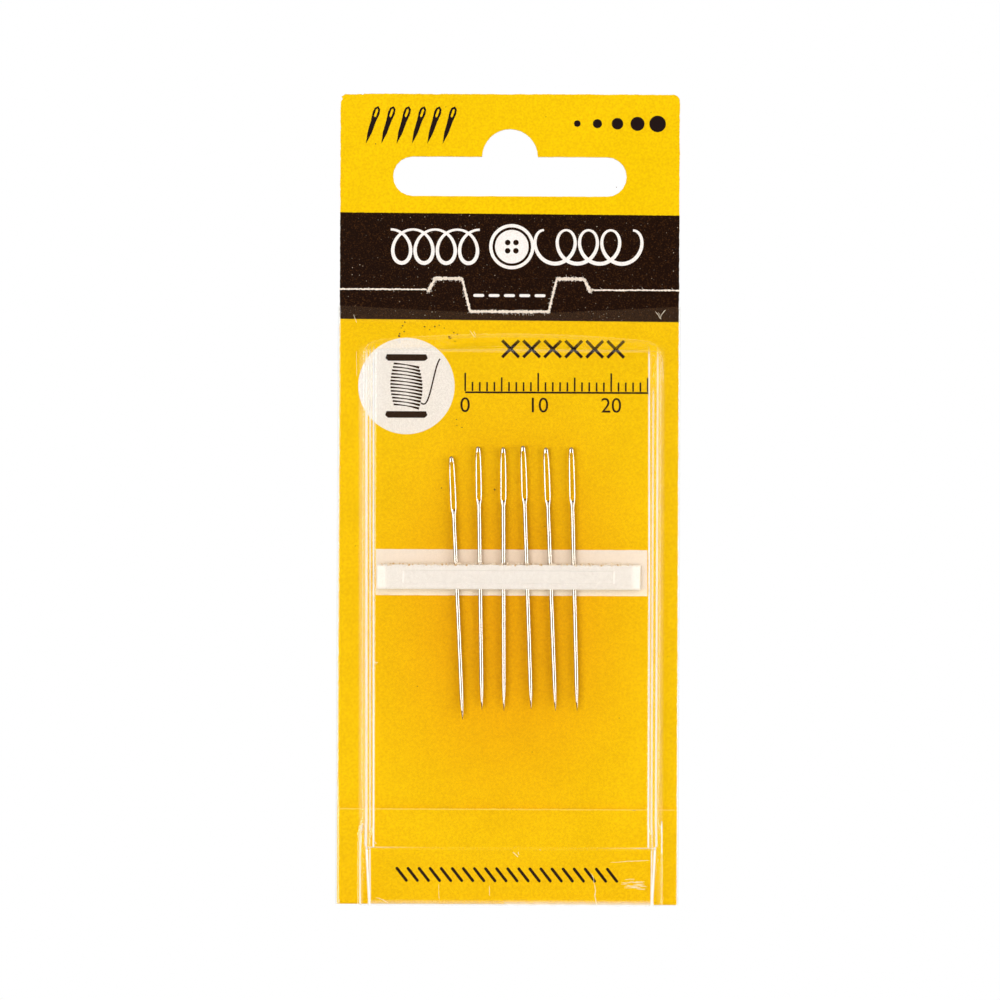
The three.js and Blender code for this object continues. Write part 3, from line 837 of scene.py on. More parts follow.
def window_outline():
    """The tongue's window, and the narrow cuts that run from its root out to the crease, as one hole."""
    size = sizes()
    inner, outer = size.root_half + size.kerf / 2, size.root_half + size.shoulder
    foot = outer + size.shoulder_slope
    right = [
        (outer, size.root_drop),
        (foot, size.crease_drop),
        (foot - size.kerf, size.crease_drop),
        (outer - size.kerf, size.root_drop + size.kerf),
        (inner, size.root_drop + size.kerf),
        (size.tip_half + size.kerf, size.tip_drop),
    ]
    return right + [(-x, drop) for x, drop in reversed(right)]


def folded_flap():
    """The board's foot, turned up round a tight fold and pressed flat on the panel."""
    size = sizes()
    half = CARD_HIGH.x
    side_steps = 12
    bevel, gap, fray = 0.025 * MM, 0.01 * MM, 0.05 * MM
    profile = [(BACK, FOLD_DROP)]
    for i in range(1, side_steps):
        turn = math.pi * i / side_steps
        profile.append((FRONT + BOARD * math.cos(turn), FOLD_DROP + BOARD * math.sin(turn)))
    profile += [
        (FLAP_FRONT, FOLD_DROP),
        (FLAP_FRONT, size.flap_drop + bevel),
        (FLAP_FRONT + bevel, size.flap_drop),
        (FRONT - gap, size.flap_drop),
        (FRONT - gap, FOLD_DROP),
    ]
    columns = resampled([(-half, 0.0), (half, 0.0)], step=0.5 * MM, closed=False)
    points = []
    for x, _ in columns:
        frayed = noise.noise(Vector((x / (0.8 * MM), 0.0, 4.0))) * fray
        points += [spot(x, drop + (frayed if drop < size.flap_drop + MM else 0.0), y) for y, drop in profile]
    around = len(profile)
    ends = [tuple(reversed(range(around))), tuple(range(len(points) - around, len(points)))]
    return outward(sheet_object("board_flap", points, tube_faces(len(columns), around) + ends))


class NEEDLE_PACK_OT_card(bpy.types.Operator):
    """Builds the printed board with its slot, window and folded foot"""

    bl_idname = "needle_pack.card"
    bl_label = "Card"

    def execute(self, context):
        outer = roughened(resampled(card_outline(), step=0.22 * MM), amount=0.06 * MM, grain=0.9 * MM, seed=1.0)
        outer = roughened(outer, amount=0.04 * MM, grain=0.3 * MM, seed=8.0)
        slot = roughened(resampled(slot_outline(), step=0.4 * MM), amount=0.03 * MM, grain=0.7 * MM, seed=2.0)
        window = roughened(resampled(window_outline(), step=0.3 * MM), amount=0.02 * MM, grain=0.3 * MM, seed=3.0)
        panel = plate("printed_board", [outer, slot, window], BACK, FRONT, edge=0.012 * MM)
        card = join([panel, folded_flap()])
        faced(card)
        finished(card, board_materials(), "card", "printed_board", "backing_card")
        self.painted_flap_edge_light()
        return {"FINISHED"}

    def painted_flap_edge_light(self):
        """A pale line painted along the flap's cut edge: painted light over the shade that falls there."""
        drop = sizes().flap_drop - 0.05 * MM
        reach = CARD_HIGH.x - 0.25 * MM
        points = resampled([(-reach, drop), (reach, drop)], step=0.2 * MM, closed=False)
        points = roughened(points, amount=0.03 * MM, grain=0.6 * MM, seed=33.0)
        widths = ragged_widths(points, mean=0.17 * MM, spread=0.14 * MM, seed=34.0)
        edge = ribbon("worn_flap_edge", points, widths, FLAP_FRONT, thickness=0.03 * MM)
        finished(edge, [flat_ink("pale_yellow_painted_light", linear("ffd94f"))], "card", "printed_board")


class NEEDLE_PACK_OT_tongue(bpy.types.Operator):
    """Builds the die-cut tongue that locks the cover"""

    bl_idname = "needle_pack.tongue"
    bl_label = "Tongue"

    def execute(self, context):
        outline = resampled(tongue_outline(gap=0.006 * MM), step=0.3 * MM)
        outline = roughened(outline, amount=0.02 * MM, grain=0.3 * MM, seed=5.0)
        tongue = plate("board_tongue", [outline], BACK, FRONT, edge=0.008 * MM)
        faced(tongue)
        finished(tongue, board_materials(), "tongue", "printed_band", "lock_tongue")
        return {"FINISHED"}


# Torn fibres along the cuts and the crease


def whisker():
    """One short paper fibre: a bent, tapered sliver with three sides."""
    rings, around = 4, 3
    points = []
    for i in range(rings):
        share = i / (rings - 1)
        radius = 0.028 * MM * (1 - 0.8 * share)
        lift = 0.1 * MM * math.sin(share * 2.4)
        for side in range(around):
            turn = 2 * math.pi * side / around
            x = (share - 0.3) * 0.42 * MM
            points.append((x, -lift + radius * math.cos(turn), radius * math.sin(turn)))
    return sheet_object("fibre", points, [(0, 1, 2), (11, 10, 9), *tube_faces(rings, around)])


def fibre_line(name, line, finish, fibre, width, seed, spacing):
    """A ragged white line of torn pulp with whiskers standing out of it."""
    front = FRONT - 0.025 * MM
    points = roughened(resampled(line, step=0.1 * MM, closed=False), amount=0.06 * MM, grain=0.25 * MM, seed=seed)
    widths = ragged_widths(points, mean=width, spread=width * 0.9, seed=seed)
    body = ribbon(name, points, widths, front, thickness=0.03 * MM)
    path = [spot(x, drop, front) for x, drop in resampled(line, step=0.5 * MM, closed=False)]
    spread = (width * 0.5, 0.02 * MM, width * 0.5)
    tufts = row_along(
        f"{name}_tufts", path, fibre, finish, spacing, spread=spread, turn=1.5, sizes_range=(0.5, 1.5), seed=seed
    )
    return join([body, tufts])


class NEEDLE_PACK_OT_fibres(bpy.types.Operator):
    """Builds the torn fibres along the die cut and the cracked ink along the crease"""

    bl_idname = "needle_pack.fibres"
    bl_label = "Torn fibres"

    def execute(self, context):
        size = sizes()
        pulp = linear("fff9ee")
        finish = fibrous("torn_paper_fibre", pulp, grain=0.1 * MM, depth=0.03 * MM, spread=0.22, roughness=0.95)
        fibre = whisker()
        foot = size.root_half + size.shoulder + size.shoulder_slope
        pieces = []
        for side in (-1, 1):
            shoulder = [
                (side * (foot + 0.05 * MM), size.crease_drop + 0.3 * MM),
                (side * (foot - size.shoulder_slope), size.root_drop + 0.1 * MM),
                (side * (size.root_half + 0.1 * MM), size.root_drop + 0.1 * MM),
            ]
            edge = [shoulder[-1], (side * (size.tip_half + 0.05 * MM), size.tip_drop)]
            crease = [(side * x, size.crease_drop) for x in (CARD_HIGH.x, foot + 0.3 * MM)] + shoulder[:1]
            for name, line, width, seed, spacing in (
                ("cut", shoulder, 0.42 * MM, 11, 0.05 * MM),
                ("edge", edge, 0.27 * MM, 15, 0.09 * MM),
                ("crease", crease, 0.19 * MM, 21, 0.8 * MM),
            ):
                pieces.append(fibre_line(f"{name}_{side}", line, finish, fibre, width, seed + side, spacing))
        fibres = join(pieces)
        fibres.name = "torn_fibres"
        finished(fibres, [finish], "card", "white_paper")
        tip_drop = size.tip_drop - 0.1 * MM
        tip = [(-size.tip_half, tip_drop), (size.tip_half, tip_drop)]
        edge = fibre_line("tongue_tip_fibres", tip, finish, fibre, width=0.34 * MM, seed=31, spacing=0.08 * MM)
        finished(edge, [finish], "tongue", "white_paper")
        drop_object(fibre)
        return {"FINISHED"}


# Clear cover


# Where the walls begin to flare towards the mouth, and over what run
FLARE_TOP, FLARE_RUN = 99.3 * MM, 2.2 * MM
# How far above the folded flap the flange begins to rise, and over what run
RISE_LEAD, RISE_RUN = 4.6 * MM, 4.5 * MM
# How far the sheet's folds reach out past the flat of its front
FOLD_RUN = 0.3 * MM


def flange_y(drop):
    """Depth of the flange's middle: it steps out over the folded flap."""
    size = sizes()
    flat = FRONT - (COVER_HIGH.y - size.film - BACK) - size.film / 2
    return flat - BOARD * smooth_step((drop - size.flap_drop + RISE_LEAD) / RISE_RUN)


def face_y(drop):
    """Depth of the bubble's face down the pack: flat, a step, a ledge and a ramp to the mouth."""
    size = sizes()
    flat = COVER_LOW.y + size.film / 2
    step = size.step_fall * smooth_step((drop - size.step_drop) / (0.5 * MM))
    ramp = size.ramp_fall * np.clip((drop - size.ramp_drop) / (CARD_TALL - size.ramp_drop), 0.0, 1.0)
    return flat + step + ramp


def flare_at(drop):
    """How far the side walls have spread at this drop."""
    return sizes().flare * smooth_step((drop - FLARE_TOP) / FLARE_RUN)


def arch_drop(from_middle):
    """Drop of the bubble's upper foot line, this far from the bubble's middle."""
    size = sizes()
    return size.bubble_top - size.bubble_arch * (1 - (from_middle / size.bubble_half) ** 2)


def cover_depth(x, drop):
    """Depth of the formed sheet's middle over a point of the card."""
    size = sizes()
    flat = flange_y(0.0 * drop)
    full = COVER_LOW.y + size.film / 2
    from_middle = x - size.bubble_shift
    side = (size.bubble_half + flare_at(drop) - np.abs(from_middle)) / size.draft
    arch = arch_drop(from_middle)
    top = (drop - arch) / (size.face_top - arch)
    corner = 1.35
    in_corner = (side < corner) & (top < corner)
    rounded = corner - np.hypot(corner - side, corner - top)
    up_wall = np.where(in_corner, rounded, np.minimum(side, top))
    wall = flat + up_wall * (full - flat)
    turn = size.bend * abs(full - flat) / size.draft
    return soft_min(soft_max(wall, face_y(drop), width=turn), flange_y(drop), turn)


def cover_columns():
    """Places across the front of the sheet, close together at the side walls."""
    size = sizes()
    shift = size.bubble_shift
    edge = COVER_HIGH.x - size.film / 2 - FOLD_RUN
    wall_out = size.bubble_half + size.flare + 0.5 * MM
    wall_in = size.bubble_half - size.draft - 0.5 * MM
    fine, flange, coarse = 0.045 * MM, 0.35 * MM, 1.0 * MM
    return runs(
        -edge,
        (shift - wall_out, flange),
        (shift - wall_in, fine),
        (shift + wall_in, coarse),
        (shift + wall_out, fine),
        (edge, flange),
    )


def cover_rows():
    """Places down the sheet below its scooped top, close together at its bends."""
    size = sizes()
    fine, coarse = 0.08 * MM, 1.2 * MM
    return runs(
        size.bubble_top - size.bubble_arch - 0.4 * MM,
        (size.face_top + 1.2 * MM, fine),
        (size.flap_drop - 4.8 * MM, coarse),
        (size.flap_drop, 0.4 * MM),
        (size.step_drop - 0.3 * MM, 0.6 * MM),
        (size.ramp_drop + 0.4 * MM, fine),
        (CARD_TALL, 0.8 * MM),
    )


def cover_sheet():
    """The middle of the formed sheet: lips behind the card, folded edges, flange and bubble."""
    size = sizes()
    front, rows = cover_columns(), cover_rows()
    # The upper edge is scooped out to pass just under the tongue's tip
    side_drop = CARD_HIGH.z - COVER_HIGH.z
    dip = size.tip_drop + 0.15 * MM - side_drop
    scoop = side_drop + dip * (1 - np.abs(front / COVER_HIGH.x) ** 1.3)
    top_rows = 8
    drops = [scoop + (rows[0] - scoop) * i / top_rows for i in range(top_rows)]
    drops += [np.full(len(front), drop) for drop in rows]
    back_y = COVER_HIGH.y - size.film / 2
    lip_x = steps(CARD_HIGH.x - size.lip, front[-1], step=0.7 * MM)
    bend_steps = 10
    points = []
    for drop in drops:
        edge_drop = drop[-1]
        out_y = float(flange_y(np.array([edge_drop]))[0])
        middle_y, reach = (back_y + out_y) / 2, (back_y - out_y) / 2
        side = [(x, back_y) for x in lip_x]
        for i in range(bend_steps):
            turn = math.pi * (0.5 - i / bend_steps)
            side.append((front[-1] + FOLD_RUN * math.cos(turn), middle_y + reach * math.sin(turn)))
        points += [spot(-x, edge_drop, y) for x, y in side]
        points += [spot(x, d, y) for x, d, y in zip(front, drop, cover_depth(front, drop))]
        points += [spot(x, edge_drop, y) for x, y in reversed(side)]
    return sheet_object("clear_cover", points, grid_faces(len(drops), len(front) + 2 * len(side)))


def paint_bend_highlights(cover):
    """Writes the painted highlights of the sheet's outer face, at its bends and on its walls, into attributes for the
    finish.
    """
    bend_highlight = cover.data.attributes.new("bend_highlight", "FLOAT", "POINT")
    glare = cover.data.attributes.new("glare", "FLOAT", "POINT")
    for i, vertex in enumerate(cover.data.vertices):
        if vertex.normal.y < -0.05 and vertex.co.y < FRONT:
            on_bend, on_wall = painted_highlights_at(vertex.co.x, CARD_HIGH.z - vertex.co.z)
            bend_highlight.data[i].value, glare.data[i].value = on_bend, on_wall


# Painted highlight lines along a side wall: distance in from its foot, half width and strength
LEFT_WALL = ((0.42 * MM, 0.2 * MM, 1.0), (0.985 * MM, 0.13 * MM, 0.8))
LEFT_BEND = ((1.475 * MM, 0.12 * MM, 1.0),)
RIGHT_WALL = ((0.33 * MM, 0.16 * MM, 1.0), (1.0 * MM, 0.15 * MM, 0.85))
RIGHT_BEND = ((1.445 * MM, 0.12 * MM, 0.95),)
FOOT_BEND = ((0.5 * MM, 0.16 * MM, 1.0), (0.95 * MM, 0.09 * MM, 0.8))
# The left wall's painted highlight lines run a quarter of a degree out of square, and are true at this drop
LEFT_LEAN, LEFT_TRUE = 0.0044, 76.3 * MM
# The right wall's painted bend highlight leans in above this drop
RIGHT_LEAN, RIGHT_TRUE = 0.006, 69.0 * MM
# The right wall's lines grow stronger down the pack, and its second one starts here
RIGHT_FADE, RIGHT_SECOND = 20 * MM, 40.0 * MM
# Where the short painted highlight beside the right wall's flare ends
RIGHT_CREASE_FOOT = 103.8 * MM


def highlight_profile(distance, half_width):
    """A line with a flat top and soft edges."""
    return math.exp(-((distance / half_width) ** 4))


def wall_highlights(side, drop, on_left, drawn):
    """How strong the painted highlight lines along a side wall are, this far in from its foot: at its bends, and on
    the wall.
    """
    size = sizes()
    walls, bends = (LEFT_WALL, LEFT_BEND) if on_left else (RIGHT_WALL, RIGHT_BEND)
    closing, second, lean = 0.0, 1.0, 0.0
    if drop > size.step_drop:
        # Below the step only the wall's foot takes painted highlight, and its two lines run together
        walls, bends = (), FOOT_BEND
        closing = 0.35 * MM * (drop - size.step_drop) / (CARD_TALL - size.step_drop)
    if not on_left:
        drawn *= 0.7 + 0.3 * float(smooth_step((drop - RIGHT_SECOND) / RIGHT_FADE))
        second = float(smooth_step((drop - RIGHT_SECOND) / (1.5 * MM)))
        lean = RIGHT_LEAN * max(RIGHT_TRUE - drop, 0.0)
    bend = wall = 0.0
    for (place, half_width, amount), present in zip(walls, (1.0, second)):
        wall = max(wall, amount * present * drawn * highlight_profile(side - place, half_width=half_width))
    for place, half_width, amount in bends:
        at = min(place + closing, FOOT_BEND[1][0]) if closing else place + lean
        bend = max(bend, amount * drawn * highlight_profile(side - at, half_width=half_width))
    return bend, wall


def flare_highlight(side, drop, on_left):
    """How strong the painted highlight on the flared foot of a side wall is."""
    size = sizes()
    spread = float(flare_at(drop))
    strength = (0.75 if on_left else 0.1) * spread / size.flare
    white = strength * highlight_profile(side + spread - 0.2 * MM, half_width=0.16 * MM)
    if not on_left and spread > 0 and drop < RIGHT_CREASE_FOOT:
        white = max(white, highlight_profile(side + size.flare - 0.14 * MM, half_width=0.09 * MM))
    return white


def painted_flange_glow(side, drop, on_left, drawn):
    """The faint painted glow of light that the wall gathers onto the flange beside it, which ends at the step."""
    outside = (0.3 * MM - side) / (1.15 * MM)
    if not 0 < outside < 1:
        return 0.0
    ending = float(smooth_step((sizes().step_drop - drop) / (5 * MM)))
    edge = float(smooth_step((1 - outside) / 0.5))
    return (0.17 if on_left else 0.12) * drawn * ending * edge * (1 - 0.5 * outside)


def level_highlights(from_middle, drop, on_left):
    """How strong the painted highlights on the bends across the sheet are: the bubble's top, its face's edge, the step
    and the mouth.
    """
    size = sizes()
    outer = min(abs(from_middle) / size.bubble_half, 1.0)
    lines = (
        (arch_drop(from_middle) + 0.2 * MM, 0.1 * MM, 0.06),
        (size.face_top, 0.07 * MM, 0.13),
        (size.step_drop + 0.1 * MM, 0.08 * MM, 0.8 * outer**6),
        (CARD_TALL, 0.09 * MM, 0.4 if on_left else 0.75),
    )
    return max(amount * highlight_profile(drop - place, half_width=half_width) for place, half_width, amount in lines)


def painted_highlights_at(x, drop):
    """How much painted highlight the sheet takes over a point of the card: at its bends, and on its drawn walls."""
    size = sizes()
    from_middle = x - size.bubble_shift
    on_left = from_middle < 0
    side = size.bubble_half - abs(from_middle)
    if on_left:
        side -= LEFT_LEAN * (drop - LEFT_TRUE)
    patchy = noise.noise(Vector((x / (1.2 * MM), 3.0, drop / (7 * MM))))
    fine = noise.noise(Vector((x / (0.3 * MM), 5.0, drop / (1.4 * MM))))
    streaky = 0.97 + 0.2 * patchy + 0.18 * fine
    # Painted reflection: a faint veil over the dark band; the flange's painted glow is added to it below
    painted_veil_and_glow = 0.006 if drop < size.band_foot + 0.2 * MM else 0.0
    bend = wall = 0.0
    under_arch = float(smooth_step((drop - arch_drop(from_middle)) / (3.2 * MM)))
    if under_arch > 0:
        bend, wall = wall_highlights(side, drop, on_left, under_arch)
        bend = max(bend, flare_highlight(side, drop, on_left))
        painted_veil_and_glow += painted_flange_glow(side, drop, on_left, under_arch)
    if side > 0.6 * MM:
        bend = max(bend, level_highlights(from_middle, drop, on_left))
    return min(painted_veil_and_glow + max(bend * streaky, 0.0), 1.0), min(max(wall * streaky, 0.0), 1.0)


class NEEDLE_PACK_OT_cover(bpy.types.Operator):
    """Builds the clear formed cover with its folded side channels"""

    bl_idname = "needle_pack.cover"
    bl_label = "Clear cover"

    def execute(self, context):
        cover = thicken(cover_sheet(), thickness=sizes().film)
        paint_bend_highlights(cover)
        finished(cover, [formed_clear_film()], "cover", "clear_film", "slide_cover", smooth_deg=50)
        return {"FINISHED"}


# Rubs and scratches on the sheet, drawn white: partly real wear, partly painted glints. How broad each is, then its
# (x, drop) points in millimetres
SCUFFS = (
    (1.3, (20.0, 29.7), (20.35, 30.15), (20.7, 30.7)),
    (1.0, (20.7, 30.6), (20.95, 30.0), (21.35, 29.5)),
    (0.7, (20.4, 29.8), (20.65, 30.3), (20.8, 30.8)),
    (0.9, (-5.4, 32.4), (-5.0, 33.0), (-4.6, 33.4)),
    (0.8, (-4.9, 32.5), (-4.5, 33.2)),
    (1.3, (0.8, 103.6), (1.2, 103.9), (1.5, 104.2)),
    (1.0, (1.5, 103.5), (1.6, 103.9)),
    (1.0, (4.4, 103.1), (4.6, 103.3)),
    (1.4, (11.9, 107.9), (12.1, 108.8), (12.0, 109.6), (12.3, 110.8)),
    (1.0, (11.4, 106.4), (11.8, 107.0), (11.9, 107.9)),
    (0.9, (14.1, 104.95), (16.4, 104.75), (19.4, 104.6)),
    (1.0, (-17.9, 109.9), (-17.0, 110.2), (-16.2, 110.6)),
    (0.7, (-2.4, 108.2), (-2.35, 109.6)),
    (0.5, (-9.3, 108.0), (-9.25, 110.3)),
    (2.2, (-20.0, 100.2), (-19.9, 101.6), (-20.0, 104.4)),
    (0.8, (-21.3, 30.3), (-20.9, 31.4)),
    (0.6, (-20.9, 35.2), (-20.85, 38.8)),
    (0.6, (21.0, 36.0), (21.1, 39.5)),
    (5.0, (-20.1, 100.95), (-19.95, 100.4), (-19.7, 99.9)),
    (1.2, (-22.95, 110.3), (-22.9, 110.85)),
    (1.3, (-18.35, 77.65), (-17.65, 77.8)),
    (1.0, (-18.2, 77.4), (-17.85, 78.0)),
    (1.6, (-17.95, 102.1), (-17.8, 102.4)),
)


class NEEDLE_PACK_OT_scuffs(bpy.types.Operator):
    """Builds the fine rubs and scratches on the clear cover, drawn white: partly real wear, partly painted glints"""

    bl_idname = "needle_pack.scuffs"
    bl_label = "Scuffs"

    def execute(self, context):
        rub_and_glint_tone = linear("fff6dc")
        finish = fibrous("scratched_polyester", rub_and_glint_tone, grain=0.15 * MM, depth=0.03 * MM, spread=0.15, roughness=0.6)
        strokes = []
        for i, (broad, *line) in enumerate(SCUFFS):
            points = resampled([(x * MM, drop * MM) for x, drop in line], step=0.12 * MM, closed=False)
            points = roughened(points, amount=0.05 * MM, grain=0.4 * MM, seed=40.0 + i)
            wide = broad * 0.055 * MM
            strokes.append(self.stroke(points, ragged_widths(points, mean=wide, spread=wide * 0.9, seed=50.0 + i)))
        scuffs = join(strokes + self.rubbed_patch())
        scuffs.name = "cover_scuffs"
        finished(scuffs, [finish], "cover", "clear_film")
        return {"FINISHED"}

    def rubbed_patch(self):
        """Fine level streaks where the foot's right corner has been handled."""
        streaks = []
        for i in range(34):
            shake = noise.noise_vector(Vector((1.7 * i, 0.4, 2.3)))
            x, drop = (17.2 + 2.3 * shake.x) * MM, (108.0 + 1.7 * shake.y) * MM
            reach = (0.45 + 0.5 * shake.z) * MM
            line = [(x - reach, drop), (x, drop + 0.06 * MM * shake.z), (x + reach, drop + 0.1 * MM * shake.x)]
            points = resampled(line, step=0.12 * MM, closed=False)
            points = roughened(points, amount=0.03 * MM, grain=0.3 * MM, seed=70.0 + i)
            streaks.append(self.stroke(points, [0.035 * MM] * len(points)))
        return streaks

    def stroke(self, points, widths):
        """A fine ribbon on the sheet's outer face, narrower at its ends."""
        lift = sizes().film / 2 + 0.02 * MM
        across, down = np.array(points).T
        depths = [float(y) - lift for y in cover_depth(across, down)]
        widths = [w * (1 - abs(2 * k / len(points) - 1) ** 3 * 0.8) for k, w in enumerate(widths)]
        return ribbon("stroke", points, widths, depths, thickness=0.008 * MM)


# Needle holder


def bar_sheet():
    """The bar's front: a flat web with a shallow pressed panel, and ends that slope down to the strip."""
    half, inset, margin = BAR_HALF, BAR_INSET, 0.75 * MM
    top_drop, foot_drop = CARD_HIGH.z - BAR_HIGH.z, CARD_HIGH.z - BAR_LOW.z
    web_y = BAR_LOW.y + BAR_SHEET / 2
    panel_y = web_y + 0.12 * MM
    end_y = STRIP_LOW.y - BAR_SHEET / 2
    # The ends lean back, then drop to the strip in a short fall
    slope_run, slope_rise, fall_run = 1.1 * MM, 0.46, 0.16 * MM
    near, rim, fine = 0.2 * MM, 0.3 * MM, 0.05 * MM
    columns = runs(
        -half,
        (-half + slope_run + rim, 0.04 * MM),
        (-half + inset - near, 0.4 * MM),
        (-half + inset + near, fine),
        (half - inset - near, 0.5 * MM),
        (half - inset + near, fine),
        (half - slope_run - rim, 0.4 * MM),
        (half, 0.04 * MM),
    )
    rows = runs(
        top_drop,
        (top_drop + rim, fine),
        (top_drop + margin - near, 0.15 * MM),
        (top_drop + margin + near, fine),
        (foot_drop - margin - near, 0.25 * MM),
        (foot_drop - margin + near, fine),
        (foot_drop - rim, 0.15 * MM),
        (foot_drop, fine),
    )
    x, drop = np.meshgrid(columns, rows)
    from_end = half - np.abs(x)
    slope = web_y + slope_rise * (slope_run - from_end)
    fall = end_y + (web_y - end_y) * from_end / fall_run
    web = soft_max(soft_max(slope, fall, width=0.08 * MM), np.full_like(x, web_y), width=0.2 * MM)
    from_edge = np.minimum(drop - top_drop, foot_drop - drop)
    in_panel = np.minimum((half - inset - np.abs(x)) / (0.3 * MM), (from_edge - margin) / (0.14 * MM))
    pressed = (panel_y - web_y) * smooth_step(0.5 + in_panel)
    rolled = 0.1 * MM * (1 - smooth_step(from_edge / (0.22 * MM)))
    depth = web + pressed + rolled
    points = []
    for i, level in enumerate(rows):
        for j, across in enumerate(columns):
            wave = 0.05 * MM * noise.noise(Vector((across / (1.7 * MM), 0.0, 9.0)))
            lift = wave * (1 - (level - top_drop) / (foot_drop - top_drop))
            points.append(spot(BAR_MIDDLE + across, level + lift, depth[i, j]))
    return sheet_object("white_bar", points, grid_faces(len(rows), len(columns)))


def foam_block():
    """The foam under the bar, with its grooves, gone lumpy."""
    source = frame["nodes"]["grip_foam"].data.copy()
    shape = bmesh.new()
    shape.from_mesh(source)
    bmesh.ops.remove_doubles(shape, verts=shape.verts, dist=0.001 * MM)
    shape.to_mesh(source)
    shape.free()
    foam = link_new("foam_pad", source)
    remesh = foam.modifiers.new("cells", "REMESH")
    remesh.mode = "VOXEL"
    remesh.voxel_size = 0.1 * MM
    bake_modifiers(foam)
    for vertex in foam.data.vertices:
        lump = noise.noise_vector(vertex.co / (0.35 * MM))
        vertex.co += lump * 0.03 * MM
    return foam


def crumb():
    """A torn crumb of foam or pulp."""
    shape = bmesh.new()
    bmesh.ops.create_icosphere(shape, subdivisions=1, radius=0.15 * MM)
    for vertex in shape.verts:
        vertex.co += noise.noise_vector(vertex.co / (0.1 * MM)) * 0.09 * MM
        vertex.co.z *= 0.75
    mesh = bpy.data.meshes.new("crumb")
    shape.to_mesh(mesh)
    shape.free()
    return link_new("crumb", mesh)


class NEEDLE_PACK_OT_holder(bpy.types.Operator):
    """Builds the paper strip, the foam, the white bar and the crumbs along its edge"""

    bl_idname = "needle_pack.holder"
    bl_label = "Needle holder"

    def execute(self, context):
        tint = colours()
        top, foot = CARD_HIGH.z - STRIP_HIGH.z, CARD_HIGH.z - STRIP_LOW.z
        corners = rectangle(STRIP_LOW.x, top, STRIP_HIGH.x, foot)
        outline = roughened(resampled(corners, step=0.4 * MM), amount=0.03 * MM, grain=0.6 * MM, seed=7.0)
        strip = plate("paper_strip", [outline], STRIP_HIGH.y, STRIP_LOW.y, edge=0.01 * MM)
        finished(strip, [shaded_paper()], "card", "white_paper", "base_strip")
        foam_finish = fibrous(
            "open_cell_white_foam", tint.foam, grain=0.18 * MM, depth=0.06 * MM, spread=0.25, roughness=0.95
        )
        foam = finished(foam_block(), [foam_finish], "card", "soft_foam", "grip_foam")
        bar = thicken(bar_sheet(), thickness=BAR_SHEET)
        finished(bar, [formed_white_plastic()], "card", "white_plastic", "retaining_bar")
        self.crumbs("foam_crumb", tint.crumb, spacing=0.2 * MM, seed=5)
        # Tan crumbs: partly pulp, partly painted shade along the bar's upper edge
        self.crumbs("pulp_crumb", linear("e6c89a"), spacing=0.7 * MM, seed=8)
        return {"FINISHED"}

    def crumbs(self, name, tone, spacing, seed):
        """Torn crumbs along the bar's upper edge."""
        grain = crumb()
        drop, edge_y = CARD_HIGH.z - BAR_HIGH.z - 0.08 * MM, BAR_LOW.y + 0.15 * MM
        path = [spot(x, drop, edge_y) for x in steps(BAR_LOW.x + MM, BAR_HIGH.x - 0.3 * MM, step=MM)]
        finish = fibrous(name + "_torn", tone, grain=0.08 * MM, depth=0.03 * MM, spread=0.25, roughness=0.95)
        spread = (0.4 * MM, 0.1 * MM, 0.16 * MM)
        row = row_along(
            f"{name}s", path, grain, finish, spacing, spread=spread, turn=3.1, sizes_range=(0.3, 1.4), seed=seed
        )
        finished(row, [finish], "card", "soft_foam")
        drop_object(grain)


# Needles


# Length of the rounded end above the eye
CROWN = 0.42 * MM


def needle_section(distance, size):
    """Half width and half thickness of a needle this far below its eye end."""
    shaft = size.shaft / 2
    swell = 1 - max(1 - distance / (0.6 * size.eye_length), 0.0) ** 2
    narrow = float(smooth_step((distance - 0.74 * size.eye_length) / (0.22 * size.eye_length)))
    width = shaft + (size.eye_width / 2 - shaft) * (0.1 + 0.9 * swell) * (1 - narrow)
    # Round at the crown, flat along the eye, thinnest where the gutter runs out below it
    eye, web = size.eye_thickness / 2, 0.13 * MM
    stops = (0.0, 0.4 * MM, 1.6 * MM, 0.74 * size.eye_length, 0.86 * size.eye_length, 0.96 * size.eye_length)
    depth = float(np.interp(distance, stops, (shaft, shaft, eye, eye, web, shaft)))
    if distance < CROWN:
        closing = max(math.sqrt(1 - (1 - distance / CROWN) ** 2), 0.02)
        width, depth = width * closing, depth * closing
    into_point = (distance - (needle_length() - size.point_length)) / size.point_length
    if into_point > 0:
        tip_share = 0.06
        taper = 1 + (tip_share - 1) * into_point**3.2
        width, depth = width * taper, depth * taper
    return width, depth


def needle_length():
    """Length of a needle along its own axis: the straightest one's box and the dome above it."""
    low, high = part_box(NEEDLE_NODES[2])
    return high.z - low.z + 0.2 * MM


def needle_mesh():
    """A needle with its eye, point down, with its tip at the origin."""
    size = sizes()
    whole = needle_length()
    stations = [CROWN * (i / 10) ** 2.2 for i in range(10)]
    point_top = whole - size.point_length
    stations += list(runs(CROWN, (size.eye_length, 0.22 * MM), (point_top, 1.2 * MM), (whole, 0.3 * MM)))
    sides = 28
    points = []
    for distance in stations:
        width, depth = needle_section(distance, size)
        for side in range(sides):
            turn = 2 * math.pi * side / sides
            points.append((width * math.cos(turn), -depth * math.sin(turn), whole - distance))
    ends = [tuple(range(sides)), tuple(reversed(range(len(points) - sides, len(points))))]
    blank = outward(sheet_object("needle_blank", points, ends + tube_faces(len(stations), sides)))
    punch = eye_punch(whole)
    cut = blank.modifiers.new("eye", "BOOLEAN")
    cut.operation = "DIFFERENCE"
    cut.solver = "EXACT"
    cut.object = punch
    bake_modifiers(blank)
    drop_object(punch)
    return blank


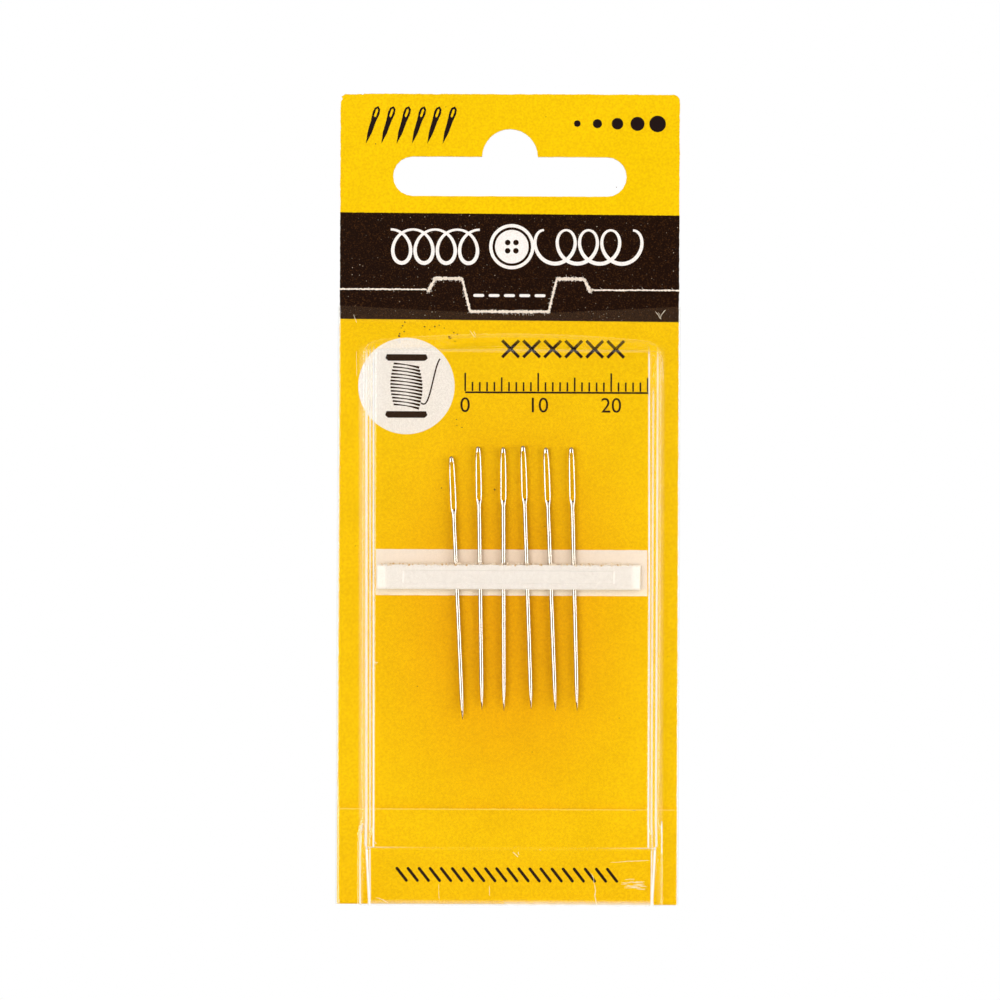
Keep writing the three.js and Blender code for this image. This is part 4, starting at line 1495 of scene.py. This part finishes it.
def eye_punch(whole):
    """The long hole of the eye, round at both ends and a little slimmer at its top."""
    size = sizes()
    wide = size.eye_width / 2 - size.eye_wall
    slim = 0.85 * wide
    top, foot = whole - 0.75 * MM - slim, whole - size.eye_length + 1.25 * MM + wide
    loop = []
    for radius, level, start in ((slim, top, 0.0), (wide, foot, math.pi)):
        for i in range(17):
            turn = start + math.pi * i / 16
            loop.append((radius * math.cos(turn), level + radius * math.sin(turn)))
    count = len(loop)
    corners = [(x, y, z) for y in (-size.eye_width, size.eye_width) for x, z in loop]
    ends = [tuple(range(count)), tuple(reversed(range(count, 2 * count)))]
    return outward(sheet_object("eye_punch", corners, ends + tube_faces(2, count)))


def needle_place(node):
    """Where a needle's tip is and how it leans, from its solid and its joint."""
    corners = [v.co for v in frame["nodes"][node].data.vertices]
    lowest = min(c.z for c in corners)
    tip = [c for c in corners if c.z < lowest + 0.01 * MM]
    middle = sum(tip, Vector()) / len(tip)
    joint = next(j for j in frame["joints"] if j["child"] == node)
    up = Vector(joint["axis"]).normalized()
    lean = math.atan2(up.x, up.z)
    return Matrix.Translation(middle) @ Matrix.Rotation(lean, 4, "Y")


class NEEDLE_PACK_OT_needles(bpy.types.Operator):
    """Builds the polished needles where their solids lie"""

    bl_idname = "needle_pack.needles"
    bl_label = "Needles"

    def execute(self, context):
        finish = polished_nickel()
        blank = needle_mesh()
        for node in NEEDLE_NODES:
            mesh = blank.data.copy()
            mesh.transform(needle_place(node))
            needle = link_new(f"polished_{node}", mesh)
            finished(needle, [finish], node, "plated_steel", node, smooth_deg=40)
        drop_object(blank)
        return {"FINISHED"}


# Printed marks


def ink_plate(name, outlines, front_y=FRONT):
    """A printed mark as a thin layer on the board."""
    ink = sizes().ink
    return plate(name, outlines, front_y - ink * 0.25, front_y - ink)


def needle_mark(left, top, tall, wide, lean_deg):
    """Outlines of a small needle about this point: a long leaf shape and the slot of its eye."""
    cos, sin = math.cos(math.radians(lean_deg)), math.sin(math.radians(lean_deg))
    body = [(0, -0.5), (0.4, -0.44), (0.5, -0.32), (0.36, -0.1), (0.3, 0.2), (0, 0.5), (-0.3, 0.2), (-0.36, -0.1)]
    body += [(-0.5, -0.32), (-0.4, -0.44)]
    eye = [(0, -0.44), (0.17, -0.4), (0.17, -0.24), (0, -0.2), (-0.17, -0.24), (-0.17, -0.4)]
    outlines = []
    for shape in (body, eye):
        sized = [(u * wide, v * tall) for u, v in shape]
        outlines.append([(left + x * cos - drop * sin, top + x * sin + drop * cos) for x, drop in sized])
    return outlines


def cross_mark(reach, width):
    """One cross stitch in the plane of the card."""
    pieces = []
    for side in (-1, 1):
        line = resampled([(-reach, side * reach), (reach, -side * reach)], step=reach, closed=False)
        pieces.append(ribbon(f"stroke_{side}", line, [width] * len(line), 0.0, thickness=0.012 * MM))
    mark = join(pieces)
    mark.data.transform(Matrix.Translation((0, 0, -CARD_HIGH.z)))
    return mark


def dash_mark(long, width):
    """One running stitch with round ends."""
    half = long / 2 - width / 2
    line = arc((half, 0), width / 2, -90, 90, count=6) + arc((-half, 0), width / 2, 90, 270, count=6)
    mark = plate("dash", [line], 0.006 * MM, -0.006 * MM)
    mark.data.transform(Matrix.Translation((0, 0, -CARD_HIGH.z)))
    return mark


def number_mark(text, middle, tall, front_y):
    """A plain number as a thin printed mesh."""
    curve = bpy.data.curves.new("number", "FONT")
    curve.body = text
    curve.size = tall
    curve.align_x = "CENTER"
    curve.align_y = "CENTER"
    curve.extrude = 0.006 * MM
    return stood_up(f"number_{text}", curve, spot(middle[0], middle[1], front_y))


def thread_loops(start, end, drop, loops, tall):
    """A thread that runs from start to end in round loops."""
    points = []
    count = 40 * loops
    for i in range(count + 1):
        turn = 2 * math.pi * loops * i / count
        x = start + (end - start) * i / count - 0.42 * tall * math.sin(turn)
        points.append((x, drop - 0.5 * tall * math.cos(turn)))
    return points


# Flecks of dark ink on the panel: x, drop and width in millimetres
PANEL_SPECKS = (
    (-14.3, 31.3, 0.22), (-14.6, 31.8, 0.2), (-14.8, 32.1, 0.16), (-14.4, 32.6, 0.2), (-15.1, 33.2, 0.3),
    (-15.0, 32.9, 0.22), (-11.6, 31.9, 0.2), (-10.9, 32.3, 0.16), (-10.2, 31.9, 0.22), (-9.6, 31.7, 0.18),
    (-8.9, 32.1, 0.15), (-8.2, 33.3, 0.34), (-8.05, 33.5, 0.3), (-7.6, 32.7, 0.16), (-7.1, 32.9, 0.18),
    (-7.4, 33.9, 0.16), (-7.2, 44.6, 0.16), (-7.1, 45.4, 0.14), (-6.4, 45.7, 0.16), (-9.2, 54.0, 0.2),
    (-1.9, 54.2, 0.24), (5.0, 59.2, 0.14), (10.7, 104.8, 0.16), (-17.6, 106.9, 0.12), (15.3, 85.4, 0.12),
    (-12.4, 81.2, 0.12), (3.4, 90.1, 0.14), (18.2, 70.3, 0.12), (-20.9, 62.0, 0.12), (21.9, 77.0, 0.12),
    (-18.4, 6.9, 0.13), (14.6, 12.7, 0.14), (4.9, 3.1, 0.12), (-8.8, 1.8, 0.12), (19.3, 2.4, 0.14),
)


class NEEDLE_PACK_OT_marks(bpy.types.Operator):
    """Builds the plain printed marks: stitches, a ruler, a button and a spool"""

    bl_idname = "needle_pack.marks"
    bl_label = "Printed marks"

    def execute(self, context):
        size, tint = sizes(), colours()
        black = flat_ink("black_offset_ink", tint.black)
        white = flat_ink("bare_white_board", linear("f5f5f4"))
        lift, foot_lift = FRONT - size.ink / 2, FLAP_FRONT - size.ink / 2
        self.header(black)
        self.band(white, lift)
        dash = dash_mark(long=1.5 * MM, width=0.4 * MM)
        tongue_row = self.stitches(
            "tongue_stitches", dash, (-4.2, 0.0, 4.2), drop=27.6, front_y=lift, spacing=2.1, ink=white
        )
        finished(tongue_row, [white], "tongue", "white_paper")
        cross = cross_mark(reach=1.15 * MM, width=0.42 * MM)
        crosses = self.stitches(
            "cross_stitches", cross, (0.2, 8.0, 14.6), drop=34.9, front_y=lift, spacing=2.85, ink=black
        )
        finished(crosses, [black], "card", "printed_band")
        finished(self.ruler(lift), [black], "card", "printed_band")
        specks = []
        for i, (x, drop, across) in enumerate(PANEL_SPECKS):
            speck = circle((x * MM, drop * MM), across * MM / 2, count=10)
            specks.append(roughened(speck, amount=across * 0.35 * MM, grain=0.12 * MM, seed=float(i)))
        finished(ink_plate("ink_specks", specks), [flat_ink("stray_brown_ink", tint.fleck)], "card", "printed_band")
        disc_at = (-14.05 * MM, 40.05 * MM)
        disc = ink_plate("white_disc", [circle(disc_at, 6.6 * MM, count=72)])
        finished(disc, [white], "card", "white_paper")
        finished(self.spool(disc_at), [black], "card", "printed_band")
        # A slanted row on the folded flap
        slant = dash_mark(long=2.5 * MM, width=0.4 * MM)
        slant.data.transform(Matrix.Rotation(math.radians(52), 4, "Y"))
        herring = self.stitches(
            "herringbone_row", slant, (-14.4, 0.0, 14.4), drop=106.9, front_y=foot_lift, spacing=1.5, ink=black
        )
        finished(herring, [black], "card", "printed_band")
        return {"FINISHED"}

    def header(self, black):
        """Six small needles on the left and a row of growing dots on the right."""
        marks = []
        for i in range(6):
            marks += needle_mark(-18.9 * MM + i * 2.1 * MM, 4.3 * MM, tall=5.4 * MM, wide=0.95 * MM, lean_deg=18)
        finished(ink_plate("header_needles", marks), [black], "card", "printed_band")
        dots = [circle((9.2 * MM + i * 2.75 * MM, 4.0 * MM), (0.45 + 0.17 * i) * MM) for i in range(5)]
        finished(ink_plate("header_dots", dots), [black], "card", "printed_band")

    def band(self, white, lift):
        """A button in the middle of the dark band and a looping thread to each side."""
        middle, drop = 0.3 * MM, 20.9 * MM
        rim = [circle((middle, drop), radius * MM) for radius in (3.1, 2.65)]
        disc = [circle((middle, drop), 2.3 * MM)]
        for i in range(4):
            turn = math.pi / 4 + math.pi / 2 * i
            hole = (middle + 0.8 * MM * math.cos(turn), drop + 0.8 * MM * math.sin(turn))
            disc.append(circle(hole, 0.38 * MM, count=24))
        pieces = [ink_plate("band_button", rim), ink_plate("band_button_disc", disc)]
        for side in (-1, 1):
            loop = thread_loops(side * 4.4 * MM + middle, side * 16.6 * MM + middle, drop, loops=4, tall=4.6 * MM)
            widths = [0.3 * MM + 0.22 * MM * abs(math.sin(i * math.pi / 40)) for i in range(len(loop))]
            pieces.append(ribbon("band_thread", loop, widths, lift, thickness=0.01 * MM, rise=0.01 * MM))
        finished(join(pieces), [white], "card", "white_paper")

    def stitches(self, name, mark, places, drop, front_y, spacing, ink):
        """A row of one mark along these places across the card; its sizes are in millimetres."""
        path = [spot(x * MM, drop * MM, front_y) for x in places]
        row = row_along(name, path, mark, ink, spacing * MM)
        drop_object(mark)
        return row

    def ruler(self, lift):
        """A ruler in millimetres with plain numbers."""
        start, top, foot, tick_foot = -6.0 * MM, 40.75 * MM, 41.0 * MM, 40.7 * MM
        tick_tall, tick_half = {0: 2.5 * MM, 5: 1.9 * MM}, 0.11 * MM
        outlines = [rectangle(start, top, start + 25.2 * MM, foot)]
        for i in range(26):
            x, tall = start + i * MM, tick_tall.get(i % 10, 1.25 * MM)
            outlines.append(rectangle(x - tick_half, tick_foot - tall, x + tick_half, tick_foot))
        pieces = [ink_plate("ruler", outlines)]
        for i in range(3):
            pieces.append(number_mark(str(10 * i), (start + 10 * i * MM, 42.7 * MM), 2.9 * MM, lift))
        return join(pieces)

    def spool(self, middle):
        """A spool of thread in line and hatching."""
        x, drop = middle
        front_y = FRONT - sizes().ink
        flange = ((-2.7, -0.45), (2.7, -0.45), (2.9, 0.1), (2.5, 0.45), (-2.5, 0.45), (-2.9, 0.1))
        outlines = []
        for side in (-1, 1):
            edge = drop + side * 3.9 * MM
            outlines.append([(x + u * MM, edge + v * MM) for u, v in flange])
        pieces = [ink_plate("spool", outlines, front_y)]
        turns = 13
        for i in range(turns):
            share = i / (turns - 1)
            level = drop - 2.9 * MM + 5.6 * MM * share
            belly = (1.75 + 0.45 * math.sin(math.pi * share)) * MM
            line = [(x + belly * u, level + 0.28 * MM * u + 0.1 * MM * u * u) for u in (-1, -0.5, 0, 0.5, 1)]
            widths = [0.3 * MM * w for w in (0.9, 0.6, 0.45, 0.75, 1.1)]
            pieces.append(ribbon("turn", line, widths, front_y - 0.01 * MM, thickness=0.01 * MM))
        tail = []
        for i in range(25):
            share = i / 24
            tail.append((x + (2.0 + 2.6 * share) * MM, drop + (2.3 - 4.8 * share + 1.3 * math.sin(5 * share)) * MM))
        pieces.append(ribbon("tail", tail, [0.2 * MM] * len(tail), front_y - 0.01 * MM, thickness=0.01 * MM))
        return join(pieces)


# Stage


class NEEDLE_PACK_OT_stage(bpy.types.Operator):
    """Builds the pale floor, the soft light and the camera"""

    bl_idname = "needle_pack.stage"
    bl_label = "Stage"

    def execute(self, context):
        scene = context.scene
        scene.view_settings.view_transform = "Standard"
        self.camera(scene)
        self.floor()
        self.lamps()
        self.surroundings(scene)
        return {"FINISHED"}

    def camera(self, scene):
        """Straight on at the front, with the card where the photograph has it."""
        data = bpy.data.cameras.new("camera")
        data.lens = 135
        data.sensor_width = 36
        width = PIXELS / PIXELS_PER_METRE
        away = width * data.lens / data.sensor_width
        across = (PIXELS / 2 - CARD_MIDDLE_PIXEL[0]) / PIXELS_PER_METRE
        up = (CARD_MIDDLE_PIXEL[1] - PIXELS / 2) / PIXELS_PER_METRE
        camera = link_new("camera", data)
        camera.location = (across, FRONT - away, CARD_MIDDLE + up)
        camera.rotation_mode = "QUATERNION"
        turn = Matrix.Rotation(math.pi / 2, 4, "X") @ Matrix.Rotation(PACK_TURN, 4, "Z")
        camera.rotation_quaternion = turn.to_quaternion()
        data.clip_start, data.clip_end = 0.01, 20
        scene.camera = camera

    def floor(self):
        half = 3.0
        gap = 60 * MM
        front = -0.1
        corners = [(-half, front, 0), (half, front, 0), (half, half, 0), (-half, half, 0)]
        floor = sheet_object("floor", corners, [(0, 1, 2, 3)])
        floor.location.z = CARD_LOW.z - gap
        floor.data.materials.append(studio_floor())

    def lamps(self):
        """A wide softbox at the left, a narrower one further round at the right, one overhead and one behind."""
        aim = Vector((0, 0, CARD_MIDDLE))
        away = 0.8
        for name, turn_deg, rise_deg, wide, tall, watts in (
            ("left_softbox", -38, 2, 0.66, 0.56, 4.5),
            ("right_softbox", 60, 2, 0.58, 0.56, 3.9),
            ("top_softbox", 0, 36, 0.8, 0.5, 0.9),
            ("back_softbox", 180, 25, 0.9, 0.6, 3.0),
        ):
            data = bpy.data.lights.new(name, "AREA")
            data.shape = "RECTANGLE"
            data.size, data.size_y = wide, tall
            data.energy = watts
            lamp = link_new(name, data)
            turn, rise = math.radians(turn_deg), math.radians(rise_deg)
            toward = Vector((math.sin(turn) * math.cos(rise), -math.cos(turn) * math.cos(rise), math.sin(rise)))
            lamp.location = aim + toward * away
            lamp.rotation_mode = "QUATERNION"
            lamp.rotation_quaternion = (-toward).to_track_quat("-Z", "Y")

    def surroundings(self, scene):
        """White to look at; darker on the camera's side, so the clear face stays clear."""
        world = bpy.data.worlds.new("white_studio")
        scene.world = world
        world.use_nodes = True
        tree = world.node_tree
        tree.nodes.clear()
        toward = add_node(tree, "ShaderNodeTexCoord").outputs["Generated"]
        depth = add_node(tree, "ShaderNodeSeparateXYZ", {0: toward}).outputs["Y"]
        turning = {"Value": depth, "From Min": -0.93, "From Max": 0.1}
        aside = add_node(tree, "ShaderNodeMapRange", turning, interpolation_type="SMOOTHSTEP")
        ray = add_node(tree, "ShaderNodeLightPath").outputs
        tone = linear("876034")
        for share, light in ((aside, linear("acacac")), (ray["Is Camera Ray"], linear("ffffff"))):
            tone = add_node(tree, "ShaderNodeMix", {"Factor": share, "A": tone, "B": light}, data_type="RGBA")
        sky = add_node(tree, "ShaderNodeBackground", {"Color": tone, "Strength": 1.0})
        add_node(tree, "ShaderNodeOutputWorld", {"Surface": sky})


class NEEDLE_PACK_PT_build(bpy.types.Panel):
    """Lists the steps that build the pack"""

    bl_idname = "NEEDLE_PACK_PT_build"
    bl_label = "Needle pack"
    bl_space_type = "VIEW_3D"
    bl_region_type = "UI"
    bl_category = "Needle pack"

    def draw(self, context):
        column = self.layout.column(align=True)
        for operator in OPERATORS:
            column.operator(operator.bl_idname)
        for group in (context.scene.needle_pack_sizes, context.scene.needle_pack_colours):
            box = self.layout.box()
            for name in group.__annotations__:
                box.prop(group, name)


OPERATORS = (
    NEEDLE_PACK_OT_stage,
    NEEDLE_PACK_OT_card,
    NEEDLE_PACK_OT_tongue,
    NEEDLE_PACK_OT_fibres,
    NEEDLE_PACK_OT_cover,
    NEEDLE_PACK_OT_scuffs,
    NEEDLE_PACK_OT_holder,
    NEEDLE_PACK_OT_needles,
    NEEDLE_PACK_OT_marks,
)
CLASSES = (NeedlePackSizes, NeedlePackColours, *OPERATORS, NEEDLE_PACK_PT_build)


def register():
    for each in CLASSES:
        bpy.utils.register_class(each)
    bpy.types.Scene.needle_pack_sizes = bpy.props.PointerProperty(type=NeedlePackSizes)
    bpy.types.Scene.needle_pack_colours = bpy.props.PointerProperty(type=NeedlePackColours)


def unregister():
    del bpy.types.Scene.needle_pack_colours
    del bpy.types.Scene.needle_pack_sizes
    for each in reversed(CLASSES):
        bpy.utils.unregister_class(each)


def main():
    register()
    bpy.ops.needle_pack.stage()
    bpy.ops.needle_pack.card()
    bpy.ops.needle_pack.tongue()
    bpy.ops.needle_pack.fibres()
    bpy.ops.needle_pack.cover()
    bpy.ops.needle_pack.scuffs()
    bpy.ops.needle_pack.holder()
    bpy.ops.needle_pack.needles()
    bpy.ops.needle_pack.marks()


if __name__ == "__main__":
    main()
